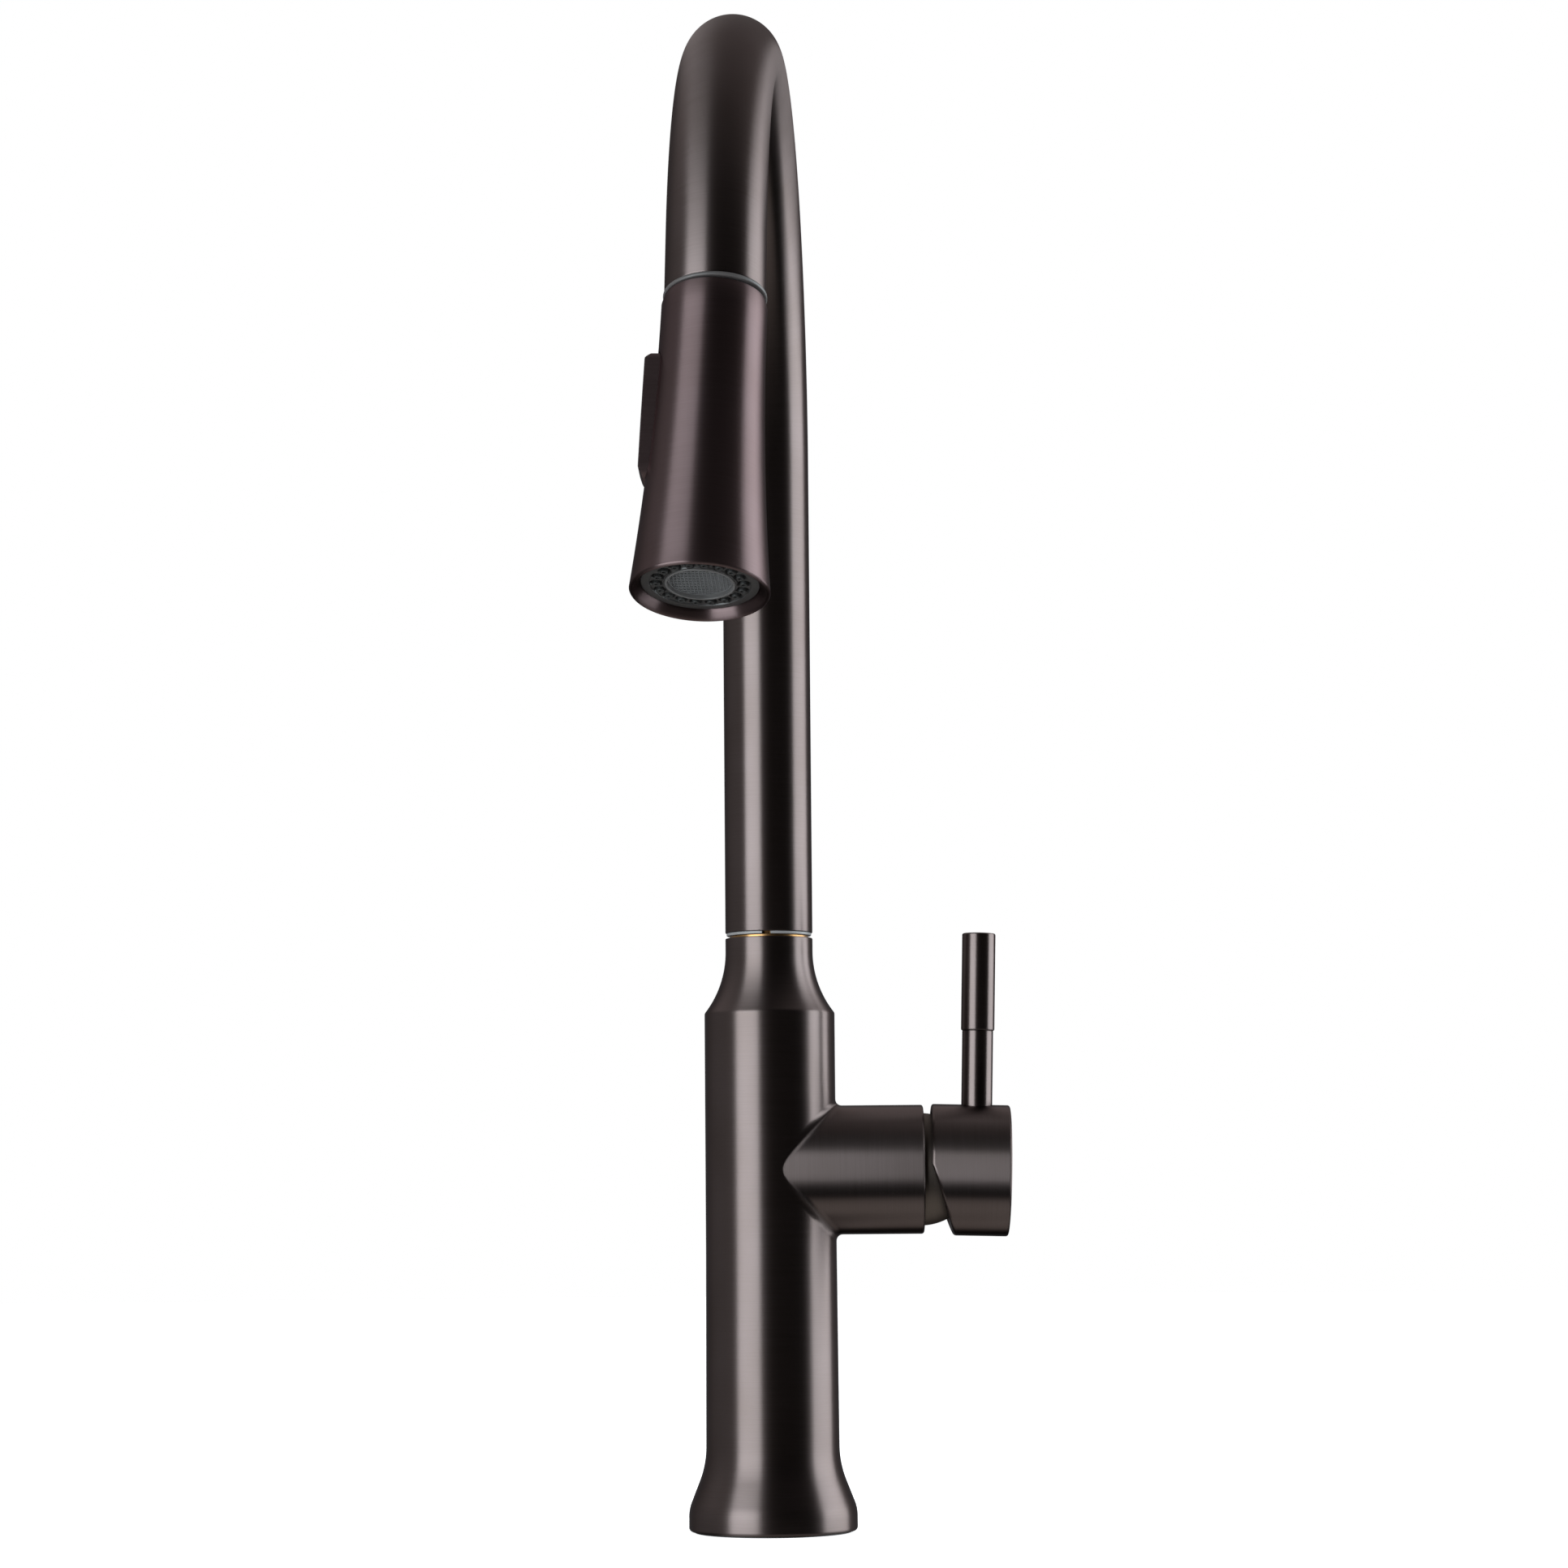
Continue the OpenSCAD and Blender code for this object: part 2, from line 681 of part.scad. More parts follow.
module head_shell() {
    lip_edge = 1;
    color(bronze_warm) at_head() difference() {
        rotate_extrude() difference() {
            union() {
                polygon([[0, head_z], [neck_r, head_z], [head_top_r, flare_z], [0, flare_z]]);
                shell_profile(0, flare_z, head_l - lip_edge);
                translate([0, head_l - lip_edge]) square([lip_r - lip_edge, lip_edge]);
                translate([shell_r(head_l - lip_edge) - lip_edge, head_l - lip_edge]) circle(lip_edge, $fn = 48);
            }
            polygon([[0, face_z], [face_r, face_z], [lip_r - lip_edge, head_l], [lip_r - lip_edge, head_l + 1],
                [0, head_l + 1]]);
            shell_profile(shell_wall, head_z + 1.5, head_l - 6);
            translate([0, head_l - 7]) square([face_r, 8]);
            translate([0, head_z - 1]) square([nose_r + 0.1, 4]);
        }
        through_button_side(lip_r * 2) button_outline(0.7);
    }
}

// water body that the hose's nipple and the spray face screw to
module head_core() {
    chamber_t = mat_z - 12.6;
    color(dark_plastic) at_head() difference() {
        union() {
            translate([0, 0, -nose_l]) cylinder(r = nose_r, h = nose_l + head_z + 3);
            translate([0, 0, head_z + 2.8]) cylinder(r = core_r, h = chamber_t - head_z - 2.7);
            translate([0, 0, chamber_t]) cylinder(r = face_r - 1.2, h = mat_z - chamber_t);
        }
        translate([0, 0, -nose_l - 1]) cylinder(r = hose_r + 1.2, h = nose_l + 2);
        translate([0, 0, -nose_l]) cylinder(r = hose_r - 1.6 + run_clear, h = nose_l + 15);
        translate([0, 0, 0]) cylinder(r = 2.4, h = chamber_t + 4);
        translate([0, 0, chamber_t + 3]) cylinder(r = face_r - 3.2, h = 12);
        translate([-core_flat - 10, -button_w / 2 - 1, button_top - 2]) cube([10, button_w + 2, button_l + 4]);
        translate([0, 0, spool_t]) rotate([0, -90, 0]) cylinder(r = spool_r + run_clear, h = 20);
        translate([-pivot_in, 0, pivot_t]) rotate([90, 0, 0]) cylinder(r = pin_r, h = 30, center = true, $fn = 24);
    }
    color(dark_plastic) at_head() pivot_ears();
}

module pivot_ears() {
    for (y = [-1, 1]) translate([-pivot_in, y * (leg_w / 2 + 0.3 + ear_w / 2), pivot_t]) difference() {
        union() {
            rotate([90, 0, 0]) cylinder(r = 1.6, h = ear_w, center = true, $fn = 32);
            translate([1.6, 0, 0]) cube([3.2, ear_w, 3.2], center = true);
        }
        rotate([90, 0, 0]) cylinder(r = pin_r, h = 4 * ear_w, center = true, $fn = 24);
    }
}

module strike_ring() {
    color(steel) at_head() translate([0, 0, head_z + 1.5]) ring(neck_r - 1.9, nose_r + 0.2, 1.2);
}

module face_plate() {
    color(dark_plastic) at_head() translate([0, 0, face_z - plate_h]) difference() {
        cylinder(r = face_r - 0.1, h = plate_h);
        translate([0, 0, -1]) cylinder(r = aerator_r + 0.5, h = plate_h + 2);
        for (i = [0 : nozzle_n - 1]) rotate([0, 0, i * 360 / nozzle_n])
            translate([nozzle_ring_r, 0, -1]) cylinder(r = 1.6, h = plate_h + 2, $fn = 32);
    }
}

module nozzle_mat() {
    color(rubber) at_head() translate([0, 0, mat_z]) difference() {
        union() {
            ring(face_r - 0.6, aerator_r + 0.5, mat_h);
            for (i = [0 : nozzle_n - 1]) rotate([0, 0, i * 360 / nozzle_n])
                translate([nozzle_ring_r, 0, mat_h - 0.1])
                cylinder(r1 = 1.4, r2 = 1.1, h = plate_h + 0.7, $fn = 32);
        }
        for (i = [0 : nozzle_n - 1]) rotate([0, 0, i * 360 / nozzle_n])
            translate([nozzle_ring_r, 0, -1]) cylinder(r = 0.45, h = plate_h + 5, $fn = 24);
    }
}

module aerator_ring() {
    color("#55585a") at_head() translate([0, 0, face_z - 7]) difference() {
        cylinder(r = aerator_r + 0.4, h = 6.8);
        translate([0, 0, -1]) cylinder(r = aerator_r - 3, h = 9);
        translate([0, 0, 4]) cylinder(r = aerator_r - 1.5, h = 3);
    }
}

module aerator_screen() {
    bar = 0.45;
    pitch = 1.5;
    screen_r = aerator_r - 1.6;
    rows = floor(screen_r / pitch);
    color("#4a4a4c") at_head() translate([0, 0, face_z - 3]) intersection() {
        cylinder(r = screen_r, h = 1);
        union() {
            ring(screen_r, screen_r - 0.7, 1);
            for (i = [-rows : rows]) {
                translate([i * pitch - bar / 2, -screen_r, 0]) cube([bar, 2 * screen_r, 1]);
                translate([-screen_r, i * pitch - bar / 2, 0]) cube([2 * screen_r, bar, 1]);
            }
        }
    }
}

module rocker_pin() {
    color(steel) at_head() translate([-pivot_in, 0, pivot_t]) rotate([90, 0, 0])
        cylinder(r = pin_r - 0.01, h = leg_w + 0.6 + 2 * ear_w, center = true, $fn = 24);
}

module rocker_button() {
    face_x = head_top_r + button_proud + 0.25;
    low = button_top + button_l;
    color(bronze_warm) at_head() difference() {
        intersection() {
            union() {
                intersection() {
                    through_button_side(lip_r * 2) button_outline(0);
                    rotate([90, 0, 0]) linear_extrude(button_w, center = true) polygon([
                        [button_root - shell_r(button_top), button_top], [2.2 - face_x, button_top],
                        [-face_x, button_top + 2.6], [-face_x - 0.5, low - 7], [-face_x - 0.3, low - 3.2],
                        [-shell_r(low) - 0.6, low], [button_root - shell_r(low), low]
                    ]);
                }
                translate([-pivot_in, 0, pivot_t]) rotate([90, 0, 0])
                    cylinder(r = 1.7, h = leg_w, center = true, $fn = 32);
                translate([-pivot_in - 1.6, 0, pivot_t]) cube([3.2, leg_w, 4], center = true);
            }
            translate([button_crown_r - face_x - 0.55, 0, 0]) cylinder(r = button_crown_r, h = head_l);
        }
        translate([-pivot_in, 0, pivot_t]) rotate([90, 0, 0])
            cylinder(r = pin_r + run_clear, h = 30, center = true, $fn = 24);
    }
}

// plunger that the button pushes across the head to change stream to spray
module diverter_spool() {
    out = shell_r(spool_t) - button_root - 0.15;
    color(brass) at_head() translate([0, 0, spool_t]) rotate([0, -90, 0]) union() {
        translate([0, 0, 4]) cylinder(r = spool_r, h = out - 4);
        translate([0, 0, 3]) cylinder(r = spool_r - 1, h = 2);
    }
}

// ---- valve ----

module cartridge_ports(r, h) {
    for (p = [[inlet_up, inlet_y], [inlet_up, -inlet_y], [-outlet_down, 0]])
        translate([-p[0], p[1], -1]) cylinder(r = r, h = h + 2, $fn = 32);
}

module cartridge_base() {
    color(dark_plastic) along_branch(pocket_x) difference() {
        cylinder(r = cavity_r, h = base_l);
        cartridge_ports(water_r, base_l);
        for (p = [[inlet_up, inlet_y], [inlet_up, -inlet_y], [-outlet_down, 0]])
            translate([-p[0], p[1], -1]) ring(water_r + 1.6, water_r, 2);
    }
}

module port_seals() {
    color(rubber) along_branch(pocket_x) for (p = [[inlet_up, inlet_y], [inlet_up, -inlet_y], [-outlet_down, 0]])
        translate([-p[0], p[1], 0]) ring(water_r + 1.6, water_r, 1);
}

module cartridge_housing() {
    top_x = nut_x - pocket_x;
    color("#d8d4c8") along_branch(pocket_x) difference() {
        union() {
            cylinder(r = cartridge_r, h = top_x);
            cylinder(r = dome_hole_r - 0.5, h = pivot_x + 4.2 - pocket_x);
        }
        translate([0, 0, -1]) cylinder(r = cavity_r, h = top_x - housing_top + 1);
        cylinder(r = neck_bore_r, h = 2 * pocket_l);
    }
}

module fixed_disc() {
    color(ceramic) along_branch(disc_x) difference() {
        cylinder(r = cavity_r - 0.1, h = disc_h);
        cartridge_ports(water_r, disc_h);
    }
}

module moving_disc() {
    color(ceramic) translate([0, 0, -disc_down]) along_branch(moving_x) difference() {
        cylinder(r = cavity_r - 4, h = moving_h);
        translate([3, 0, -1]) cylinder(r = 4.5, h = moving_h - 0.5);
    }
}

module disc_carrier() {
    color("#7d8f9c") translate([0, 0, -disc_down]) along_branch(carrier_x) difference() {
        cylinder(r = cavity_r - 5, h = carrier_h);
        translate([0, 0, -1]) cylinder(r = ball_r + 0.25, h = carrier_h + 2);
    }
}

module rotor() {
    flange_l = nut_x - housing_top - rotor_x - 0.2;
    slot_h = 2 * (disc_down + ball_r + 1);
    color("#7d8f9c") difference() {
        union() {
            along_branch(rotor_x) cylinder(r = cavity_r - 0.5, h = flange_l);
            along_branch(rotor_x) cylinder(r = neck_bore_r - run_clear, h = pivot_x + 4 - rotor_x);
        }
        translate([rotor_x - 1, -stem_slot / 2, valve_z - slot_h / 2])
            cube([pivot_x + 6 - rotor_x, stem_slot, slot_h]);
        translate([pivot_x, 0, valve_z]) rotate([90, 0, 0]) cylinder(r = 1.5, h = 40, center = true, $fn = 32);
    }
}

module stem_pin() {
    color(steel) translate([pivot_x, 0, valve_z]) rotate([90, 0, 0])
        cylinder(r = 1.49, h = 2 * neck_bore_r - 1, center = true, $fn = 32);
}

module valve_stem() {
    color(brass) difference() {
        union() {
            along_stem() translate([-stem_w / 2, -stem_w / 2, -2.6]) cube([stem_w, stem_w, stem_out + 2.6]);
            along_stem() translate([0, 0, -stem_in]) cylinder(r = stem_r1, h = stem_in, $fn = 32);
            along_stem() translate([0, 0, -stem_in]) sphere(ball_r, $fn = 48);
        }
        translate([pivot_x, 0, valve_z]) rotate([90, 0, 0])
            cylinder(r = 1.5 + run_clear, h = 40, center = true, $fn = 32);
    }
}

module cartridge_nut() {
    color(brass) along_branch(nut_x) difference() {
        cylinder(r = nut_r, h = dome_x - nut_x);
        translate([0, 0, -1]) cylinder(r = dome_hole_r, h = 20);
    }
}

module dome_cap() {
    color("#4a4642") difference() {
        translate([pivot_x, 0, valve_z]) sphere(dome_r);
        translate([pivot_x, 0, valve_z]) sphere(dome_r - dome_wall);
        along_branch(dome_x - 3 * dome_r) cylinder(r = 2 * dome_r, h = 3 * dome_r);
        along_branch(dome_x - 1) cylinder(r = dome_hole_r, h = 2 * dome_r);
    }
}

// ---- handle ----

module handle_hub() {
    color(bronze) difference() {
        as_handle() hub_body();
        along_stem() translate([-stem_w / 2, -stem_w / 2, 0]) cube([stem_w, stem_w, stem_out + 0.2]);
    }
}

module hub_body() {
    difference() {
        along_branch(hub_x) rounded_rod(hub_r, hub_l, hub_edge);
        translate([pivot_x, 0, valve_z]) sphere(hub_cavity_r);
        translate([hub_x, 0, valve_z + relief_up]) rotate([0, -relief_angle, 0])
            translate([-4 * hub_r, -2 * hub_r, -4 * hub_r]) cube([4 * hub_r, 4 * hub_r, 4 * hub_r]);
        translate([lever_x, 0, rod_root_z]) cylinder(r = rod_r, h = 2 * hub_r);
        translate([hub_x + hub_l - 6, 0, valve_z - hub_r - 1]) cylinder(r = set_screw_r, h = hub_r + 2, $fn = 32);
        translate([hub_x + hub_l - 6, 0, valve_z - hub_r - 1]) cylinder(r = set_screw_r + 1, h = 3.4, $fn = 32);
    }
}

module lever_rod() {
    color(bronze) as_handle() translate([lever_x, 0, rod_root_z]) union() {
        cylinder(r = rod_r, h = rod_top_z - rod_root_z);
        cylinder(r = stud_r, h = sleeve_top_z - rod_root_z - 4);
    }
}

module lever_sleeve() {
    color(bronze) as_handle() translate([lever_x, 0, rod_top_z]) difference() {
        rounded_rod(sleeve_r, sleeve_l, sleeve_edge);
        translate([0, 0, -1]) cylinder(r = stud_r, h = sleeve_l - 4 + 1);
    }
}

module handle_set_screw() {
    color(steel) as_handle() translate([hub_x + hub_l - 6, 0, valve_z - hub_r + 3]) difference() {
        cylinder(r = set_screw_r - 0.01, h = hub_r - 3 - stem_w / 2 - 0.2, $fn = 32);
        translate([0, 0, -1]) cylinder(r = set_screw_r / 2, h = 3, $fn = 6);
    }
}

module handle_plug() {
    color(dark_plastic) as_handle() intersection() {
        translate([hub_x + hub_l - 6, 0, valve_z - hub_r - 1]) cylinder(r = set_screw_r + 0.99, h = 3.4, $fn = 32);
        along_branch(hub_x) cylinder(r = hub_r, h = hub_l);
    }
}

// ---- mounting under the deck ----

module rubber_washer() {
    color(rubber) translate([0, 0, stack_z - rubber_h]) ring(shank_r + washer_w, shank_r + 0.4, rubber_h);
}

module steel_washer() {
    color(steel) translate([0, 0, stack_z - rubber_h - washer_h])
        ring(shank_r + washer_w, shank_r + 0.4, washer_h);
}

module jack_positions() {
    for (a = [30 : 120 : 270]) rotate([0, 0, a]) translate([jack_ring_r, 0, 0]) children();
}

module mounting_nut() {
    color(brass) translate([0, 0, nut_z]) difference() {
        union() {
            translate([0, 0, nut_h - 5]) cylinder(r = shank_r + washer_w - 0.6, h = 5);
            cylinder(r = shank_r + 4, h = nut_h, $fn = 6);
        }
        translate([0, 0, -1]) cylinder(r = shank_r + 0.08, h = nut_h + 2);
        jack_positions() translate([0, 0, -1]) cylinder(r = jack_r, h = nut_h + 2, $fn = 32);
    }
}

module jack_screws() {
    color(steel) jack_positions() translate([0, 0, nut_z - 9]) difference() {
        union() {
            cylinder(r = jack_r + 1.6, h = 4, $fn = 32);
            cylinder(r = jack_r - 0.01, h = nut_h + 9, $fn = 32);
        }
        translate([-0.5, -jack_r - 2, -1]) cube([1, 2 * jack_r + 4, 2.4]);
    }
}

body_casting();
valve_socket();
base_gasket();
shank();
neck_bush();
spout_set_screw();
cartridge_base();
port_seals();
cartridge_housing();
fixed_disc();
cartridge_nut();
dome_cap();
rotor();
stem_pin();
moving_disc();
disc_carrier();
handle_hub();
lever_rod();
lever_sleeve();
valve_stem();
handle_set_screw();
handle_plug();
spout_tube();
spout_outlet();
swivel_insert();
swivel_o_rings();
slip_ring();
dock_collar();
dock_magnet();
dock_gasket();
hose_body_run();
hose_spout_run();
hose_inlet_fitting();
hose_ferrule();
hose_nipple();
nipple_o_ring();
head_shell();
head_core();
strike_ring();
face_plate();
nozzle_mat();
aerator_ring();
aerator_screen();
rocker_pin();
rocker_button();
diverter_spool();
rubber_washer();
steel_washer();
mounting_nut();
jack_screws();
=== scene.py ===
"""Pull-down kitchen faucet: the visual model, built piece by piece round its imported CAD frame.

Every length is in metres. Each sub-assembly is a class that holds its sizes and makes and dresses its meshes.
"""

import json
import logging
import math
from dataclasses import dataclass
from enum import Enum
from typing import Callable, Sequence

import bpy
from mathutils import Matrix, Vector


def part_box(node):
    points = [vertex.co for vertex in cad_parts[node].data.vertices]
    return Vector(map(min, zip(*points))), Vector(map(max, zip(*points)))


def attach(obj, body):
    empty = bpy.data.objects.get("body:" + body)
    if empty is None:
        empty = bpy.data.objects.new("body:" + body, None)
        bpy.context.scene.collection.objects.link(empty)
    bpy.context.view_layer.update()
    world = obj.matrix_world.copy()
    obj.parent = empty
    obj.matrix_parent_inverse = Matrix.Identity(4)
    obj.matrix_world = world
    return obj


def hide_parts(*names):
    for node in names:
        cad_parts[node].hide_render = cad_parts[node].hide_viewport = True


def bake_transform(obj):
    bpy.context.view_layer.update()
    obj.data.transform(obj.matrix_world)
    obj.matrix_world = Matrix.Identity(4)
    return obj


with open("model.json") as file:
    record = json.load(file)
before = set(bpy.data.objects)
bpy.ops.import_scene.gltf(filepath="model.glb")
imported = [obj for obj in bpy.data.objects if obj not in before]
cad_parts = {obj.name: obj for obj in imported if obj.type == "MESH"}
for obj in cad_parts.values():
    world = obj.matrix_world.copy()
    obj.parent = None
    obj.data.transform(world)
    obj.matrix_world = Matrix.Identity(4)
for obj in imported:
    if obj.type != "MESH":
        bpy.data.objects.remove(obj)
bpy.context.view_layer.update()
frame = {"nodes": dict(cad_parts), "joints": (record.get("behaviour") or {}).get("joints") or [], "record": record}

MM = 0.001
SMOOTH_ANGLE = math.radians(32)
log = logging.getLogger("faucet")

Point = tuple[float, float]
Piece = bpy.types.Object


# ---------------------------------------------------------------- frame

def joint(name: str) -> dict:
    """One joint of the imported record, by name."""
    return next(j for j in frame["joints"] if j["name"] == name)


def axes_matrix(origin: Vector, x: Vector, y: Vector, z: Vector) -> Matrix:
    """A placement from an origin and three unit axes."""
    turn = Matrix((x, y, z)).transposed().to_4x4()
    return Matrix.Translation(origin) @ turn


def head_placement() -> Matrix:
    """Where the docked head stands: origin at the dock, Z along the head, button on the -X side."""
    z = Vector(joint("head_pull")["axis"]).normalized()
    y = -Vector(joint("button_rock")["axis"]).normalized()
    return axes_matrix(Vector(joint("head_swivel")["pos_m"]), y.cross(z), y, z)


def valve_pivot() -> Vector:
    """The point that the valve's stem and handle turn about."""
    return Vector(joint("lever_lift")["pos_m"])


# ---------------------------------------------------------------- modelling

def clear_selection() -> None:
    """Leaves edit mode and deselects everything."""
    if bpy.context.object and bpy.context.object.mode != "OBJECT":
        bpy.ops.object.mode_set(mode="OBJECT")
    bpy.ops.object.select_all(action="DESELECT")


def activate(*pieces: Piece) -> None:
    """Selects these objects only and makes the first one active."""
    clear_selection()
    for piece in pieces:
        piece.select_set(True)
    bpy.context.view_layer.objects.active = pieces[0]


def arc(centre: Point, radius: float, start: float, end: float, steps: int) -> list[Point]:
    """Points along a round stretch of an outline.

    Args:
        centre: radius and height of the arc's centre.
        radius: the arc's own radius.
        start: angle of its first point, in degrees, 0 pointing outwards and 90 up.
        end: angle of its last point.
        steps: number of stretches between them.
    Returns:
        The points, both ends included.
    """
    turns = [math.radians(start + (end - start) * i / steps) for i in range(steps + 1)]
    return [(centre[0] + radius * math.cos(a), centre[1] + radius * math.sin(a)) for a in turns]


def extrude_ring(scale: float, height: float, climb: float) -> None:
    """Extrudes the selected ring of edges, scales it about Z and lifts it."""
    bpy.ops.mesh.extrude_edges_move()
    bpy.ops.transform.resize(value=(scale, scale, 1), center_override=(0, 0, height))
    bpy.ops.transform.translate(value=(0, 0, climb))


def finish_mesh(weld: float = 1e-7) -> None:
    """In edit mode: welds doubles, turns normals outwards, and goes back to object mode, smooth by angle."""
    bpy.ops.mesh.select_all(action="SELECT")
    bpy.ops.mesh.remove_doubles(threshold=weld)
    bpy.ops.mesh.normals_make_consistent(inside=False)
    bpy.ops.object.mode_set(mode="OBJECT")
    bpy.ops.object.shade_smooth_by_angle(angle=SMOOTH_ANGLE)


def lathe(name: str, outline: Sequence[Point], sides: int = 128, closed: bool = True) -> Piece:
    """Turns an outline about Z: a circle is raised through its points, ring by ring.

    Args:
        name: the piece's name.
        outline: radii and heights, in order.
        sides: number of sides round the axis.
        closed: the last point joins the first; otherwise both ends are filled flat.
    Returns:
        The new object.
    """
    radius, height = outline[0]
    clear_selection()
    bpy.ops.mesh.primitive_circle_add(
        vertices=sides, radius=radius, fill_type="NOTHING", location=(0, 0, height))
    piece = bpy.context.object
    piece.name = name
    bpy.ops.object.transform_apply(location=True)
    bpy.ops.object.mode_set(mode="EDIT")
    bpy.ops.mesh.select_all(action="SELECT")
    for r, z in [*outline[1:], outline[0]] if closed else outline[1:]:
        extrude_ring(r / radius, height, z - height)
        radius, height = r, z
    if not closed:
        bpy.ops.mesh.select_all(action="SELECT")
        bpy.ops.mesh.fill_holes(sides=0)
    finish_mesh()
    return piece


def place(piece: Piece, where: Matrix) -> Piece:
    """Moves a piece to its place and applies the move to its mesh."""
    activate(piece)
    piece.matrix_world = where @ piece.matrix_world
    bpy.ops.object.transform_apply(location=True, rotation=True, scale=True)
    return piece


def rod(name: str, radius: float, start: Vector, end: Vector, sides: int = 64) -> Piece:
    """A plain round cutter between two points."""
    run = end - start
    clear_selection()
    bpy.ops.mesh.primitive_cylinder_add(
        vertices=sides, radius=radius, depth=run.length, location=(0, 0, run.length / 2))
    piece = bpy.context.object
    piece.name = name
    bpy.ops.object.transform_apply(location=True)
    return place(piece, Matrix.Translation(start) @ run.to_track_quat("Z", "Y").to_matrix().to_4x4())


def block(name: str, low: Vector, high: Vector) -> Piece:
    """A box between two corners, as a start or a cutter."""
    clear_selection()
    bpy.ops.mesh.primitive_cube_add(size=1, location=(low + high) / 2)
    piece = bpy.context.object
    piece.name = name
    piece.scale = high - low
    bpy.ops.object.transform_apply(location=True, rotation=True, scale=True)
    return piece


def apply_modifier(piece: Piece, kind: str, **settings: object) -> None:
    """Adds a modifier with its settings and applies it."""
    activate(piece)
    bpy.ops.object.modifier_add(type=kind)
    modifier = piece.modifiers[-1]
    for name, value in settings.items():
        setattr(modifier, name, value)
    bpy.ops.object.modifier_apply(modifier=modifier.name)


class Cut(Enum):
    """What a boolean does with the other solid."""

    AWAY = "DIFFERENCE"
    JOIN = "UNION"
    COMMON = "INTERSECT"


def carve(piece: Piece, other: Piece, cut: Cut = Cut.AWAY, weld: float = 2e-6) -> None:
    """Cuts, joins or trims a piece with another solid, which is then gone."""
    apply_modifier(piece, "BOOLEAN", operation=cut.value, object=other, solver="EXACT")
    bpy.data.objects.remove(other)
    activate(piece)
    bpy.ops.object.mode_set(mode="EDIT")
    bpy.ops.mesh.select_all(action="SELECT")
    bpy.ops.mesh.remove_doubles(threshold=weld)
    bpy.ops.object.mode_set(mode="OBJECT")
    bpy.ops.object.shade_smooth_by_angle(angle=SMOOTH_ANGLE)


def join(name: str, pieces: Sequence[Piece]) -> Piece:
    """Makes one object of several."""
    activate(*pieces)
    bpy.ops.object.join()
    piece = bpy.context.object
    piece.name = name
    return piece


def copies_round(piece: Piece, count: int) -> list[Piece]:
    """The piece and its copies, evenly round Z, each with its own mesh."""
    made = [piece]
    for i in range(1, count):
        activate(piece)
        bpy.ops.object.duplicate()
        made.append(place(bpy.context.object, Matrix.Rotation(2 * math.pi * i / count, 4, "Z")))
    return made


def slice_off(piece: Piece, point: Vector, away: Vector) -> None:
    """Cuts a piece by a plane, removes the side that the vector points to and closes the cut."""
    activate(piece)
    bpy.ops.object.mode_set(mode="EDIT")
    bpy.ops.mesh.select_all(action="SELECT")
    bpy.ops.mesh.bisect(plane_co=point, plane_no=away, use_fill=True, clear_outer=True)
    finish_mesh()


def round_edges(piece: Piece, width: float, steps: int, angle: float = 40.0) -> None:
    """Rounds every edge sharper than an angle, in degrees."""
    apply_modifier(
        piece, "BEVEL", width=width, segments=steps, limit_method="ANGLE",
        angle_limit=math.radians(angle), use_clamp_overlap=True,
    )
    activate(piece)
    bpy.ops.object.shade_smooth_by_angle(angle=SMOOTH_ANGLE)


Grain = Callable[[Vector], tuple[Vector, Vector]]


def straight_grain(origin: Vector, axis: Vector) -> Grain:
    """Grain of a piece that was polished while it turned about a straight axis.

    Args:
        origin: a point on the axis.
        axis: the axis.
    Returns:
        A function of a point, which gives its place along and across the axis, and the axis.
    """
    along = axis.normalized()
    side = along.orthogonal().normalized()
    other = along.cross(side)

    def grain(point: Vector) -> tuple[Vector, Vector]:
        reach = point - origin
        return Vector((reach.dot(along), reach.dot(side), reach.dot(other))), along

    return grain


def lay_grain(piece: Piece, grain: Grain) -> None:
    """Stores the grain on a mesh: 'turned' is the place along and across the axis, 'grain' the axis."""
    mesh = piece.data
    turned = mesh.attributes.new("turned", "FLOAT_VECTOR", "POINT")
    axis = mesh.attributes.new("grain", "FLOAT_VECTOR", "POINT")
    for i, vertex in enumerate(mesh.vertices):
        turned.data[i].vector, axis.data[i].vector = grain(vertex.co)


# ---------------------------------------------------------------- finishes

def linear(code: str) -> tuple[float, float, float, float]:
    """An sRGB hex colour as the linear colour that a socket takes."""
    parts = [int(code[i:i + 2], 16) / 255 for i in (1, 3, 5)]
    return (*[c / 12.92 if c <= 0.04045 else ((c + 0.055) / 1.055) ** 2.4 for c in parts], 1.0)


def add_node(tree: bpy.types.NodeTree, kind: str, inputs: dict | None = None,
             **settings: object) -> bpy.types.Node:
    """Adds a node with its settings, input values and links.

    Args:
        tree: the node tree.
        kind: the node's type.
        inputs: for a socket's name or number, its value or the output that it is linked to.
        settings: the node's own properties.
    Returns:
        The node.
    """
    node = tree.nodes.new(kind)
    for name, value in settings.items():
        setattr(node, name, value)
    for name, value in (inputs or {}).items():
        if isinstance(value, bpy.types.NodeSocket):
            tree.links.new(value, node.inputs[name])
        else:
            node.inputs[name].default_value = value
    return node


def shades(tree: bpy.types.NodeTree, factor: bpy.types.NodeSocket, low: str,
           high: str) -> bpy.types.NodeSocket:
    """A colour between two hex colours, by a factor from 0 to 1."""
    mix = add_node(tree, "ShaderNodeMix", {0: factor, 6: linear(low), 7: linear(high)}, data_type="RGBA")
    return mix.outputs[2]


